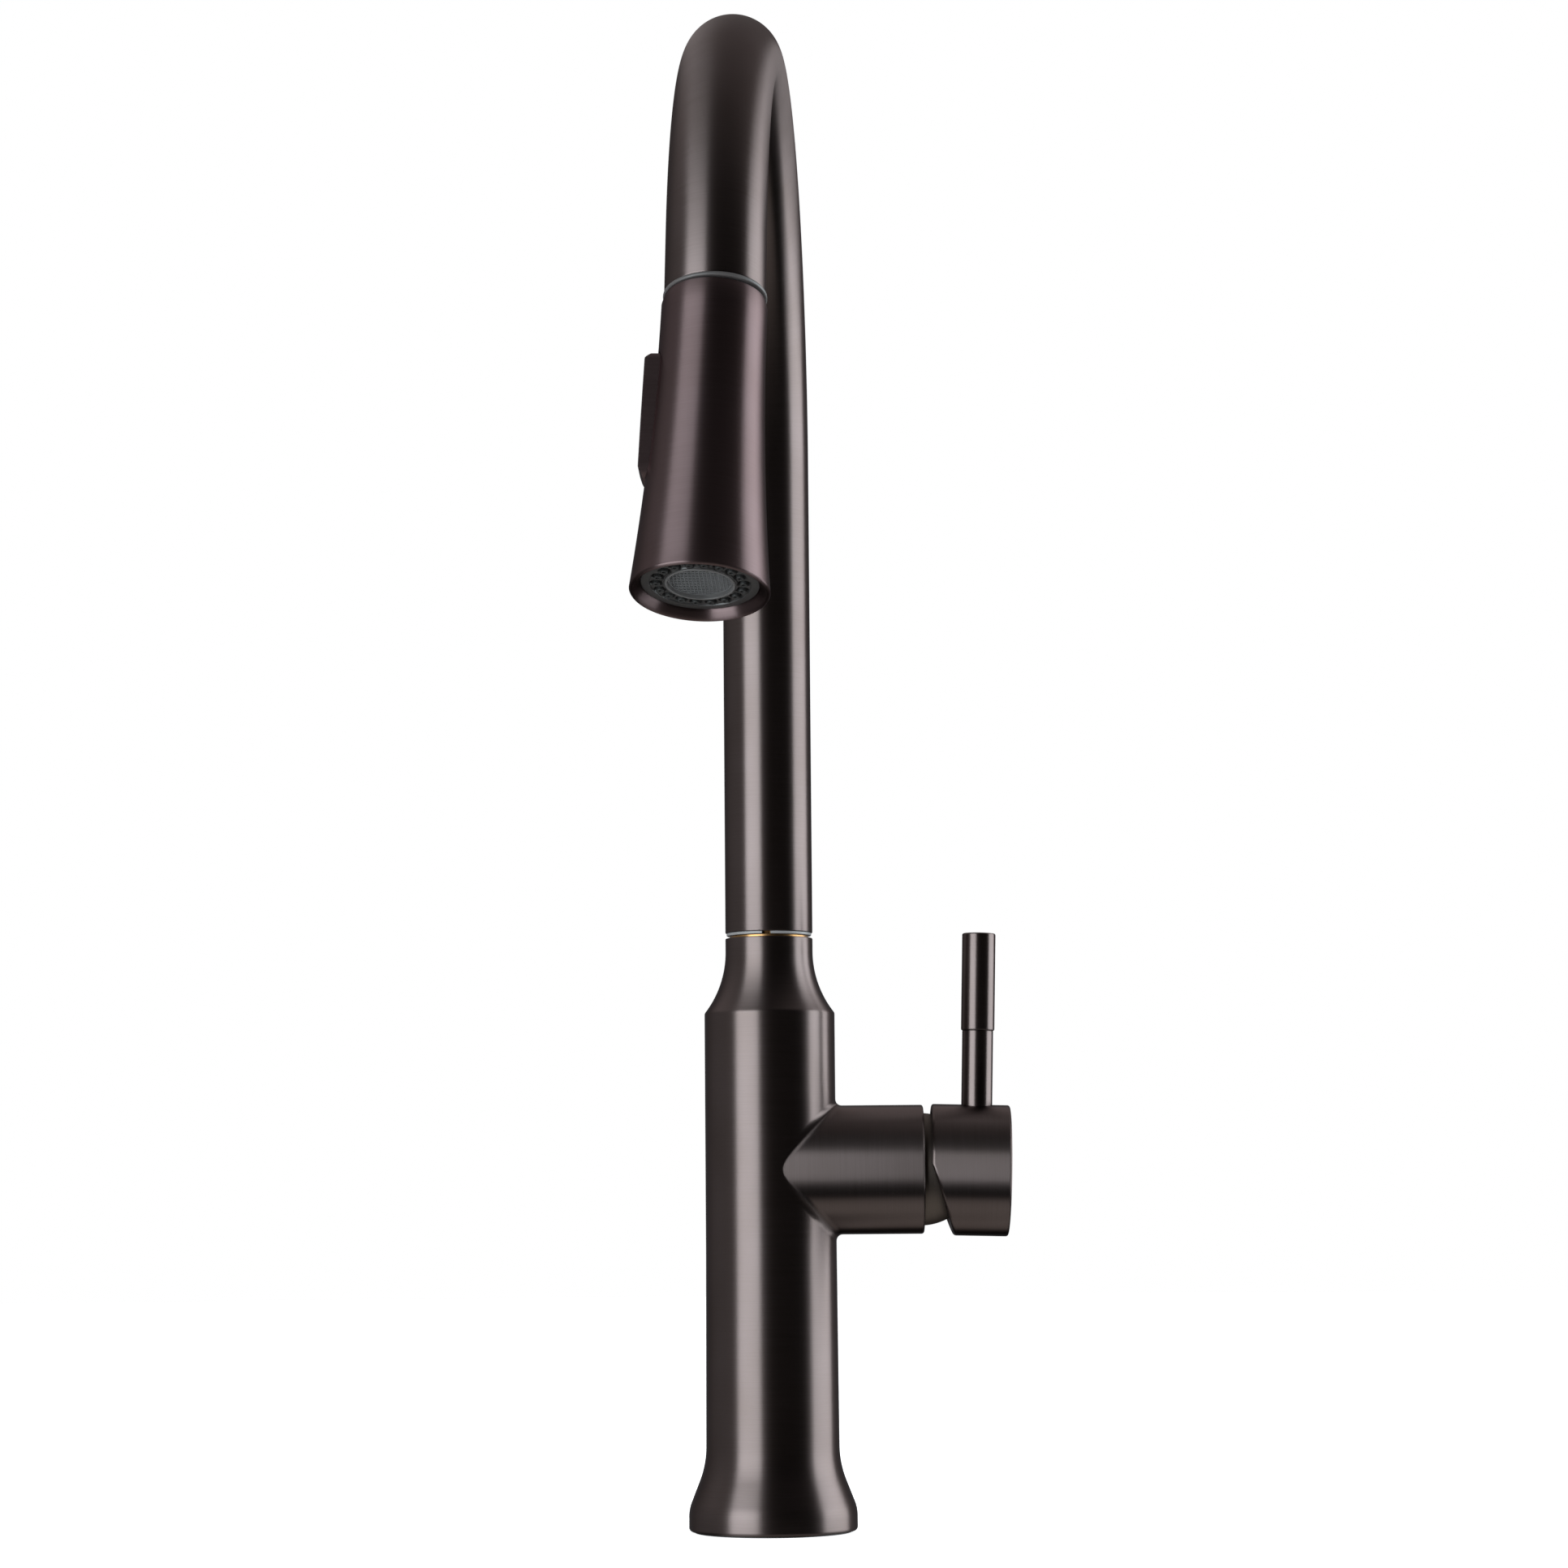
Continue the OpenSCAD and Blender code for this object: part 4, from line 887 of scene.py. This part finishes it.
@dataclass
class SprayHead:
    """The pull-down spray head: plated shell, rocking button and the spray face in its lip."""

    paint: Paint
    length: float = 90.3 * MM
    start: float = 1.7 * MM
    flare_start: float = 4 * MM
    neck_r: float = 14.1 * MM
    top_r: float = 14.65 * MM
    lip_r: float = 19.05 * MM
    lip_w: float = 2.9 * MM
    lip_round: float = 0.9 * MM
    face_depth: float = 2.6 * MM
    wall: float = 1.4 * MM
    nose_r: float = 9 * MM
    nozzles: int = 18
    nozzle_ring: float = 11.8 * MM
    aerator_r: float = 9.6 * MM
    plate_h: float = 2.2 * MM
    button_top: float = 19.6 * MM
    button_l: float = 37.7 * MM
    button_w: float = 11 * MM
    button_proud: float = 3.1 * MM
    button_root: float = 2.1 * MM
    button_crown: float = 20.8 * MM
    window_gap: float = 0.7 * MM
    window_round: float = 3 * MM
    groove: float = 0.35 * MM
    mat_h: float = 1.4 * MM

    def __post_init__(self) -> None:
        """Works out the flare and the spray face's level."""
        self.where = head_placement()
        run, grow = self.length - self.flare_start, self.lip_r - self.top_r
        self.flare_r = (run ** 2 + grow ** 2) / (2 * grow)
        self.face_r = self.lip_r - self.lip_w
        self.face_z = self.length - self.face_depth

    def radius(self, t: float) -> float:
        """Outer radius of the shell at a distance from the dock."""
        if t < self.flare_start:
            return self.top_r
        return self.top_r + self.flare_r - math.sqrt(self.flare_r ** 2 - (t - self.flare_start) ** 2)

    def finish_piece(self, piece: Piece, slot: str, *nodes: str, body: str = "head") -> Piece:
        """Places a piece that was modelled along Z into the docked head, and dresses it."""
        place(piece, self.where)
        if isinstance(Paint.FINISHES[slot], BrushedBronze):
            lay_grain(piece, straight_grain(self.where.translation, self.where.to_3x3().col[2]))
        return self.paint.dress(piece, slot, body, *nodes)

    def shell(self) -> Piece:
        """The flared shell with its rolled lip and the button's window."""
        steps = 20
        low, high = self.flare_start, self.length - self.lip_round
        flare = [(self.radius(t), t) for t in (low + (high - low) * i / steps for i in range(steps + 1))]
        inner = [(r - self.wall, t) for r, t in flare[:-2]]
        edge = 0.3 * MM
        lip_x = self.lip_r - self.lip_round
        roll = []
        for i in range(9):
            a = math.radians(90 * i / 8)
            roll.append((self.face_r + (lip_x - self.face_r) * math.cos(a) ** 0.9,
                         self.face_z + (self.length - self.face_z) * (1 - (1 - math.cos(a)) ** 1.6)))
        outline = [
            (self.nose_r, self.start), *arc((self.neck_r - edge, self.start + edge), edge, -90, 0, 3),
            *flare, *arc((lip_x, self.length - self.lip_round), self.lip_round, 0, 90, 5)[1:-1],
            *roll, (self.face_r, self.length - 7 * MM), *reversed(inner), (self.nose_r, self.start + 1.5 * MM)]
        piece = lathe("head_shell", outline, 192)
        carve(piece, self.window(self.window_gap))
        return self.finish_piece(piece, "head_bronze", "head_shell")

    def window(self, gap: float) -> Piece:
        """A bar with rounded corners that fills the button's window, out through the shell's side."""
        half = self.button_w / 2 + gap
        bar = block("window", Vector((-2 * self.lip_r, -half, self.button_top - gap)),
                    Vector((0, half, self.button_top + self.button_l + gap)))
        activate(bar)
        bpy.ops.object.mode_set(mode="EDIT")
        bpy.ops.mesh.select_all(action="DESELECT")
        bpy.ops.object.mode_set(mode="OBJECT")
        for edge in bar.data.edges:
            ends = [bar.data.vertices[i].co for i in edge.vertices]
            edge.select = abs(ends[0].x - ends[1].x) > self.lip_r
        bpy.ops.object.mode_set(mode="EDIT")
        bpy.ops.mesh.bevel(offset=self.window_round + gap, segments=8, affect="EDGES")
        finish_mesh()
        return bar

    def button(self) -> Piece:
        """The rocking button: its faceted side profile drawn out across, trimmed to its face and crowned."""
        low = self.button_top + self.button_l
        out = self.top_r + self.button_proud + 0.25 * MM
        root = self.button_root
        profile = [
            (root - self.radius(self.button_top), self.button_top), (2.2 * MM - out, self.button_top),
            (-out, self.button_top + 2.6 * MM), (-out - 0.5 * MM, low - 7 * MM), (-out - 0.3 * MM, low - 3.2 * MM),
            (-self.radius(low) - 0.6 * MM, low), (root - self.radius(low), low)]
        clear_selection()
        bpy.ops.mesh.primitive_circle_add(vertices=len(profile), radius=1 * MM, fill_type="NGON")
        bar = bpy.context.object
        bar.name = "rocker_button"
        for vertex, (x, t) in zip(bar.data.vertices, profile):
            vertex.co = Vector((x, -self.button_w, t))
        bpy.ops.object.mode_set(mode="EDIT")
        bpy.ops.mesh.select_all(action="SELECT")
        bpy.ops.mesh.extrude_region_move()
        bpy.ops.transform.translate(value=(0, 2 * self.button_w, 0))
        finish_mesh()
        carve(bar, self.window(0.0), Cut.COMMON)
        crown_x = self.button_crown - out - 0.55 * MM
        crown = rod("crown", self.button_crown, Vector((crown_x, 0, 0)), Vector((crown_x, 0, self.length)), 256)
        carve(bar, crown, Cut.COMMON)
        round_edges(bar, 0.25 * MM, 3, 25)
        return self.finish_piece(bar, "head_bronze", "rocker_button", body="button")

    def ring_of(self, piece: Piece) -> Piece:
        """Copies a piece made on Z to every nozzle's place and joins the copies."""
        place(piece, Matrix.Translation((self.nozzle_ring, 0, 0)))
        return join(piece.name, copies_round(piece, self.nozzles))

    def plate(self) -> Piece:
        """The black face plate with a socket for each nozzle and a raised ring round the aerator."""
        z0, z1 = self.face_z - self.plate_h, self.face_z
        outer, inner = self.face_r - 0.1 * MM, self.aerator_r + 0.1 * MM
        groove = self.groove
        piece = lathe("face_plate", [
            (inner, z0), (outer, z0), *arc((outer - 0.3 * MM, z1 - 0.3 * MM), 0.3 * MM, 0, 90, 3),
            (13.75 * MM, z1), (13.55 * MM, z1 - groove), (10.35 * MM, z1 - groove), (10.15 * MM, z1), (inner, z1)], 160)
        socket = lathe("sockets", [
            (1.45 * MM, z0 - 1 * MM), (1.45 * MM, z1 - 1.2 * MM), (1.85 * MM, z1 - groove),
            (2.0 * MM, z1 + 0.5 * MM)], 32, closed=False)
        carve(piece, self.ring_of(socket))
        return self.finish_piece(piece, "face_plastic", "face_plate")

    def mat(self) -> Piece:
        """The rubber mat behind the plate, with a nozzle through each socket."""
        front = self.face_z - self.plate_h
        back = front - self.mat_h
        inner, outer = self.aerator_r + 0.1 * MM, self.face_r - 0.6 * MM
        disc = lathe("nozzle_mat", [(inner, back), (outer, back), (outer, front), (inner, front)], 96)
        tip = self.face_z + self.groove
        nozzle = lathe("nozzle", [
            (0.42 * MM, front - 0.2 * MM), (1.3 * MM, front - 0.2 * MM), (1.08 * MM, tip - 0.3 * MM),
            *arc((0.8 * MM, tip - 0.28 * MM), 0.28 * MM, 0, 90, 3), (0.5 * MM, tip - 0.12 * MM)], 28)
        return self.finish_piece(join("nozzle_mat", [disc, self.ring_of(nozzle)]), "black_rubber", "nozzle_mat")

    def aerator(self) -> Piece:
        """The aerator's threaded ring, with a rounded rim proud of the plate."""
        rim = 0.28 * MM
        top = self.face_z + 0.25 * MM
        inner = self.aerator_r - 0.75 * MM
        floor_z, ledge_z = self.face_z - 7 * MM, self.face_z - 3 * MM
        throat = 6.2 * MM
        piece = lathe("aerator_ring", [
            (throat, floor_z), (self.aerator_r, floor_z), *arc((self.aerator_r - rim, top - rim), rim, 0, 90, 4),
            *arc((inner + rim * 0.6, top - rim * 0.6), rim * 0.6, 90, 180, 3), (inner, ledge_z),
            (throat, ledge_z)], 128)
        return self.finish_piece(piece, "aerator_plastic", "aerator_ring")

    def screen(self) -> Piece:
        """The aerator's screen: two layers of crossed bars inside a thin hoop."""
        reach = self.aerator_r - 0.8 * MM
        top = self.face_z - 1.1 * MM
        layers = []
        for depth, turn in ((0.0, 0.0), (0.75 * MM, 45.0)):
            clear_selection()
            bpy.ops.mesh.primitive_grid_add(x_subdivisions=18, y_subdivisions=18, size=2.1 * reach)
            grid = bpy.context.object
            apply_modifier(grid, "WIREFRAME", thickness=0.42 * MM, use_replace=True, use_even_offset=False)
            place(grid, Matrix.Translation((0, 0, top - depth)) @ Matrix.Rotation(math.radians(turn), 4, "Z"))
            carve(grid, rod("trim", reach - 0.2 * MM, Vector((0, 0, top - depth - 1 * MM)),
                            Vector((0, 0, top - depth + 1 * MM)), 96), Cut.COMMON)
            layers.append(grid)
        hoop = lathe("hoop", [(reach - 0.5 * MM, top - 1.3 * MM), (reach, top - 1.3 * MM), (reach, top + 0.3 * MM),
                              (reach - 0.5 * MM, top + 0.3 * MM)], 96)
        return self.finish_piece(join("aerator_screen", [hoop, *layers]), "screen_plastic", "aerator_screen")

    def build(self) -> None:
        """Builds every piece of the head."""
        self.shell()
        self.button()
        self.plate()
        self.mat()
        self.aerator()
        self.screen()


# ---------------------------------------------------------------- handle

@dataclass
class Handle:
    """The side lever: hub with its relieved underside, rod and grip sleeve, and the dome under it."""

    paint: Paint
    hub_r: float = 21 * MM
    hub_edge: float = 0.8 * MM
    dome_r: float = 18 * MM
    dome_wall: float = 1.6 * MM
    dome_hole_r: float = 11.5 * MM
    plug_r: float = 3 * MM
    cavity_gap: float = 1.2 * MM
    relief_angle: float = 19.0
    relief_up: float = 1.5 * MM
    lean: float = 1.5
    lever_out: float = 17.7 * MM
    rod_r: float = 5 * MM
    sleeve_r: float = 5.4 * MM
    rod_h: float = 23.8 * MM
    sleeve_l: float = 31.5 * MM
    hub_gap: float = 2.2 * MM
    hub_l: float = 25.3 * MM

    def __post_init__(self) -> None:
        """Reads the pivot from the frame and works out the handle's levels before its lean."""
        self.pivot = valve_pivot()
        self.hub_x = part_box("valve_socket")[1].x + self.hub_gap
        self.tilt = (Matrix.Translation(self.pivot) @ Matrix.Rotation(math.radians(self.lean), 4, "Y")
                     @ Matrix.Translation(-self.pivot))
        self.lever_x = self.pivot.x + self.lever_out
        self.hub_top = self.pivot.z + self.hub_r

    def dress(self, piece: Piece, axis: Vector, origin: Vector, *nodes: str) -> Piece:
        """Leans a piece with the handle, lays its grain and dresses it."""
        place(piece, self.tilt)
        lay_grain(piece, straight_grain(self.tilt @ origin, self.tilt.to_3x3() @ axis))
        return self.paint.dress(piece, "body_bronze", "handle", *nodes)

    def hub(self) -> Piece:
        """The hub: a turned drum, its underside cut away at a slant, hollowed to clear the dome."""
        x_axis = Vector((1, 0, 0))
        start = Vector((self.hub_x, 0, self.pivot.z))
        drum = rod("handle_hub", self.hub_r, start, start + x_axis * self.hub_l, 192)
        slope = math.radians(self.relief_angle)
        slice_off(drum, start + Vector((0, 0, self.relief_up)), Vector((-math.cos(slope), 0, -math.sin(slope))))
        round_edges(drum, self.hub_edge, 5, 35)
        clear_selection()
        bpy.ops.mesh.primitive_uv_sphere_add(
            segments=128, ring_count=64, radius=self.dome_r + self.cavity_gap, location=self.pivot)
        carve(drum, bpy.context.object)
        well = Vector((self.lever_x, 0, self.pivot.z + 16 * MM))
        carve(drum, rod("rod_hole", self.rod_r + 0.02 * MM, well, well + Vector((0, 0, 0.03)), 96))
        screw = Vector((self.hub_x + self.hub_l - 6 * MM, 0, self.pivot.z - self.hub_r - 1 * MM))
        carve(drum, rod("plug_hole", self.plug_r, screw, screw + Vector((0, 0, 3.4 * MM)), 48))
        return self.dress(drum, x_axis, self.pivot, "handle_hub")

    def lever(self) -> Piece:
        """The lower rod of the lever, with the stud that its grip screws onto."""
        base = self.hub_top - 5 * MM
        stud = self.rod_r - 1.2 * MM
        top = self.hub_top + self.rod_h
        piece = lathe("lever_rod", [
            (self.rod_r, base), (self.rod_r, top - 0.15 * MM), (self.rod_r - 0.15 * MM, top), (stud, top),
            (stud, top + self.sleeve_l - 5 * MM)], 96, closed=False)
        place(piece, Matrix.Translation((self.lever_x, 0, 0)))
        return self.dress(piece, Vector((0, 0, 1)), Vector((self.lever_x, 0, 0)), "lever_rod")

    def grip(self) -> Piece:
        """The thicker grip sleeve, eased at both ends."""
        low = self.hub_top + self.rod_h
        high = low + self.sleeve_l
        edge = 0.6 * MM
        stud, core = self.rod_r - 1.15 * MM, 0.05 * MM
        piece = lathe("grip_sleeve", [
            (stud, low), *arc((self.sleeve_r - edge, low + edge), edge, -90, 0, 5),
            *arc((self.sleeve_r - edge, high - edge), edge, 0, 90, 5), (core, high), (core, high - 4 * MM),
            (stud, high - 4 * MM)], 96)
        place(piece, Matrix.Translation((self.lever_x, 0, 0)))
        return self.dress(piece, Vector((0, 0, 1)), Vector((self.lever_x, 0, 0)), "lever_sleeve")

    def dome(self) -> Piece:
        """The dome over the cartridge, with its hole for the stem."""
        low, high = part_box("dome_cap")
        back = low.x - self.pivot.x
        hole = self.dome_hole_r
        inner = self.dome_r - self.dome_wall
        start = math.degrees(math.asin(back / self.dome_r))
        end = math.degrees(math.acos(hole / self.dome_r))
        inner_start = math.degrees(math.asin(back / inner))
        inner_end = math.degrees(math.acos(hole / inner))
        piece = lathe("cartridge_dome", [
            *arc((0, 0), self.dome_r, start, end, 20),
            *reversed(arc((0, 0), inner, inner_start, inner_end, 16))], 160)
        place(piece, Matrix.Translation(self.pivot) @ Matrix.Rotation(math.pi / 2, 4, "Y"))
        lay_grain(piece, straight_grain(self.pivot, Vector((1, 0, 0))))
        return self.paint.dress(piece, "dome_bronze", "body", "dome_cap")

    def build(self) -> None:
        """Builds every piece of the handle."""
        self.hub()
        self.lever()
        self.grip()
        self.dome()


# ---------------------------------------------------------------- hose

@dataclass
class Hose:
    """The braided pull-down hose: one run up the body, and one round the spout to the head."""

    paint: Paint
    spout: Spout
    radius: float = 6 * MM
    bend_h: float = 46 * MM
    split_up: float = 14 * MM
    bush_gap: float = 1 * MM

    def tube(self, name: str, points: Sequence[Vector]) -> Piece:
        """A round tube along a smooth curve through these points, as a mesh."""
        clear_selection()
        curve = bpy.data.curves.new(name, "CURVE")
        curve.dimensions = "3D"
        curve.bevel_depth = self.radius
        curve.bevel_resolution = 6
        curve.use_fill_caps = True
        spline = curve.splines.new("POLY")
        spline.points.add(len(points) - 1)
        for target, point in zip(spline.points, points):
            target.co = (*point, 1)
        holder = bpy.data.objects.new(name, curve)
        bpy.context.scene.collection.objects.link(holder)
        activate(holder)
        bpy.ops.object.convert(target="MESH")
        piece = bpy.context.object
        bpy.ops.object.mode_set(mode="EDIT")
        finish_mesh()
        return piece

    def body_run(self) -> Piece:
        """The run from under the deck to the swivel, bending over from beside the valve to the middle."""
        low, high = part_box("hose_body_run")
        start_x = low.x + self.radius
        top = high.z
        bend_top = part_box("neck_bush")[0].z - self.bush_gap
        bend_low = bend_top - self.bend_h
        steps = 20

        def middle(z: float) -> float:
            """How far the hose's centre stands from the body's axis at a height."""
            share = min(max((z - bend_low) / self.bend_h, 0), 1)
            return start_x * (1 + math.cos(math.pi * share)) / 2

        heights = [low.z, *[bend_low + self.bend_h * i / steps for i in range(steps + 1)], top]
        piece = self.tube("hose_in_body", [Vector((middle(z), 0, z)) for z in heights])

        def grain(point: Vector) -> tuple[Vector, Vector]:
            return Vector((point.z, point.x - middle(point.z), point.y)), Vector((0, 0, 1))

        lay_grain(piece, grain)
        return self.paint.dress(piece, "hose_braid", "body", "hose_body_run")

    def spout_run(self) -> Piece:
        """The run up the riser, round the bend and down to the ferrule."""
        spout = self.spout
        bend = math.radians(spout.goose_angle)
        swing = spout.swing
        riser = [Vector((0, 0, z)) for z in (spout.foot_z + self.split_up, spout.goose_z)]
        steps = 60
        centre = Vector((0, -spout.goose_r, spout.goose_z))
        arch = [centre + spout.goose_r * Vector((0, math.cos(a), math.sin(a)))
                for a in (bend * i / steps for i in range(1, steps + 1))]
        rows = 40
        tail = [arch[-1] + spout.axis * (1.5 * MM * i / rows) for i in range(1, rows + 1)]
        piece = self.tube("hose_in_spout", [swing @ p for p in (*riser, *arch, *tail)])
        lay_grain(piece, spout.centreline)
        piece.data.materials.clear()
        piece.data.materials.append(self.paint.get("hose_braid"))
        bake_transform(piece)
        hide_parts("hose_spout_run")
        return piece

    def build(self) -> None:
        """Builds both runs."""
        self.body_run()
        self.spout_run()


# ---------------------------------------------------------------- studio

@dataclass
class Studio:
    """Plain pale floor, white surround, two softboxes and the camera."""

    lens_mm: float = 90.3
    camera_at: tuple[float, float, float] = (0.0053, -1.2715, 0.1015)
    pitch: float = 6.2
    roll: float = -0.48
    hole_r: float = 17.5 * MM

    def camera(self) -> None:
        """A long lens near the deck's height, looking slightly up."""
        data = bpy.data.cameras.new("camera")
        data.lens = self.lens_mm
        camera = bpy.data.objects.new("camera", data)
        bpy.context.scene.collection.objects.link(camera)
        up = math.radians(self.pitch)
        forward = Vector((0, math.cos(up), math.sin(up)))
        level, rise = Vector((1, 0, 0)), Vector((0, -math.sin(up), math.cos(up)))
        turn = math.radians(self.roll)
        right = math.cos(turn) * level + math.sin(turn) * rise
        camera.matrix_world = axes_matrix(Vector(self.camera_at), right, right.cross(forward), -forward)
        bpy.context.scene.camera = camera

    def softbox(self, name: str, azimuth: float, away: float, width: float, low: float, high: float,
                radiance: float, tint: str) -> None:
        """An upright panel of light that faces the faucet.

        Args:
            name: the light's name.
            azimuth: its direction, in degrees, 0 towards the camera and 90 to the right.
            away: its distance from the body's axis.
            width: its width.
            low: height of its lower edge.
            high: height of its upper edge.
            radiance: its brightness.
            tint: its colour.
        """
        data = bpy.data.lights.new(name, "AREA")
        data.shape, data.size, data.size_y = "RECTANGLE", width, high - low
        data.energy = radiance * math.pi * width * (high - low)
        data.color = linear(tint)[:3]
        light = bpy.data.objects.new(name, data)
        bpy.context.scene.collection.objects.link(light)
        turn = math.radians(azimuth)
        out = Vector((math.sin(turn), -math.cos(turn), 0))
        light.location = out * away + Vector((0, 0, (low + high) / 2))
        light.rotation_euler = out.to_track_quat("Z", "Y").to_euler()
        light.visible_camera = False

    def surround(self) -> None:
        """White to the eye; in reflections grey behind and below, and black in front."""
        world = bpy.data.worlds.new("studio")
        bpy.context.scene.world = world
        world.use_nodes = True
        tree = world.node_tree
        tree.nodes.clear()
        ray = add_node(tree, "ShaderNodeTexCoord").outputs["Generated"]
        parts = add_node(tree, "ShaderNodeSeparateXYZ", {0: ray}).outputs
        back = add_node(tree, "ShaderNodeMath", {0: parts[1], 1: -1.0}, operation="MULTIPLY").outputs[0]
        azimuth = add_node(tree, "ShaderNodeMath", {0: parts[0], 1: back}, operation="ARCTAN2").outputs[0]
        share = add_node(tree, "ShaderNodeMapRange", {0: azimuth, 1: -math.pi, 2: math.pi}).outputs[0]
        level = add_node(tree, "ShaderNodeMapRange", {0: parts[2], 1: -1.0, 2: 1.0}).outputs[0]
        round_about = self.ramp(tree, share, [
            (-180, "#707173"), (-152, "#a5a6a9"), (-126, "#dcddde"), (-90, "#e9e9ea"), (-40, "#fbf3f1"),
            (-20, "#bcb0ad"), (-8, "#6b6361"), (2, "#2f2b2a"), (12, "#252424"), (58, "#292828"), (70, "#a09f9f"),
            (130, "#e9e9ea"), (152, "#a5a6a9"), (180, "#707173")], lambda degrees: (degrees + 180) / 360)
        overhead = self.ramp(tree, level, [
            (-90, "#e3e0da"), (-54, "#e0ddd8"), (-48, "#2e2d2c"), (-28, "#2e2d2c"), (-20, "#bcbcbc"), (12, "#bcbcbc"),
            (30, "#c8c6c5"), (90, "#c8c6c5")], lambda degrees: (math.sin(math.radians(degrees)) + 1) / 2)
        arch = add_node(tree, "ShaderNodeMath", {0: parts[2], 1: back}, operation="ARCTAN2").outputs[0]
        over = add_node(tree, "ShaderNodeMapRange", {0: arch, 1: 0.0, 2: math.pi}).outputs[0]
        vault = self.ramp(tree, over, [
            (0, "#3c3a3a"), (60, "#403e3e"), (75, "#706c6b"), (82, "#8a8685"), (90, "#a6a3a3"), (98, "#b9b6b6"),
            (116, "#d4d1d1"), (140, "#efeded"), (180, "#ffffff")], lambda degrees: degrees / 180)
        is_low = add_node(tree, "ShaderNodeMath", {0: parts[2], 1: -0.64}, operation="LESS_THAN").outputs[0]
        grey = add_node(tree, "ShaderNodeMix", data_type="RGBA", blend_type="MULTIPLY",
                        inputs={0: 1.0, 6: round_about, 7: overhead}).outputs[2]
        walls = add_node(tree, "ShaderNodeMix", data_type="RGBA", inputs={0: is_low, 6: grey, 7: overhead}).outputs[2]
        is_high = add_node(tree, "ShaderNodeMapRange", {0: parts[2], 1: 0.35, 2: 0.6}, interpolation_type="SMOOTHSTEP")
        around = add_node(tree, "ShaderNodeMix", data_type="RGBA",
                          inputs={0: is_high.outputs[0], 6: walls, 7: vault}).outputs[2]
        studio = add_node(tree, "ShaderNodeBackground", {"Color": around, "Strength": 1.0}).outputs[0]
        white = add_node(tree, "ShaderNodeBackground", {"Color": (1, 1, 1, 1), "Strength": 1.0}).outputs[0]
        seen = add_node(tree, "ShaderNodeLightPath").outputs["Is Camera Ray"]
        mix = add_node(tree, "ShaderNodeMixShader", {0: seen, 1: studio, 2: white}).outputs[0]
        add_node(tree, "ShaderNodeOutputWorld", {"Surface": mix})

    @staticmethod
    def ramp(tree: bpy.types.NodeTree, factor: bpy.types.NodeSocket, stops: Sequence[tuple[float, str]],
             place_of: Callable[[float], float]) -> bpy.types.NodeSocket:
        """A colour ramp whose stops are given in degrees."""
        node = add_node(tree, "ShaderNodeValToRGB", {0: factor})
        elements = node.color_ramp.elements
        while len(elements) < len(stops):
            elements.new(0.5)
        for element, (degrees, colour) in zip(elements, stops):
            element.position = place_of(degrees)
            element.color = linear(colour)
        return node.outputs[0]

    def floor(self) -> None:
        """The pale deck, with the hole that the shank goes down through."""
        clear_selection()
        bpy.ops.mesh.primitive_circle_add(vertices=128, radius=self.hole_r, fill_type="NOTHING")
        piece = bpy.context.object
        piece.name = "deck"
        bpy.ops.object.mode_set(mode="EDIT")
        bpy.ops.mesh.select_all(action="SELECT")
        bpy.ops.mesh.extrude_edges_move()
        bpy.ops.transform.resize(value=(200, 200, 1))
        bpy.ops.mesh.select_all(action="SELECT")
        bpy.ops.mesh.normals_make_consistent(inside=False)
        bpy.ops.object.mode_set(mode="OBJECT")
        material, tree, shader = blank_material("pale deck")
        wire(tree, shader, Base_Color=linear("#f4f4f4"), Roughness=0.8, Emission_Color=linear("#ffffff"),
             Emission_Strength=0.75)
        piece.data.materials.append(material)
        piece.visible_glossy = False
        piece.visible_shadow = False

    def build(self) -> None:
        """Sets up the camera, the lights and the stage."""
        self.camera()
        self.surround()
        self.softbox("left_softbox", -41, 2.6, 2.0, -0.75, 1.6, 7.8, "#f0fbff")
        self.softbox("right_softbox", 99, 2.6, 2.4, -0.75, 1.8, 6.2, "#f0fbff")
        self.floor()
        bpy.context.scene.view_settings.view_transform = "Standard"


def main() -> None:
    """Builds the studio and every sub-assembly, and dresses the CAD nodes that stay."""
    logging.basicConfig(level=logging.INFO, format="%(name)s: %(message)s")
    Studio().build()
    paint = Paint()
    spout = Spout(paint)
    for assembly in (Body(paint), spout, SprayHead(paint), Handle(paint), Hose(paint, spout)):
        log.info("building %s", type(assembly).__name__)
        assembly.build()
    paint.dress_frame()


if __name__ == "__main__":
    main()
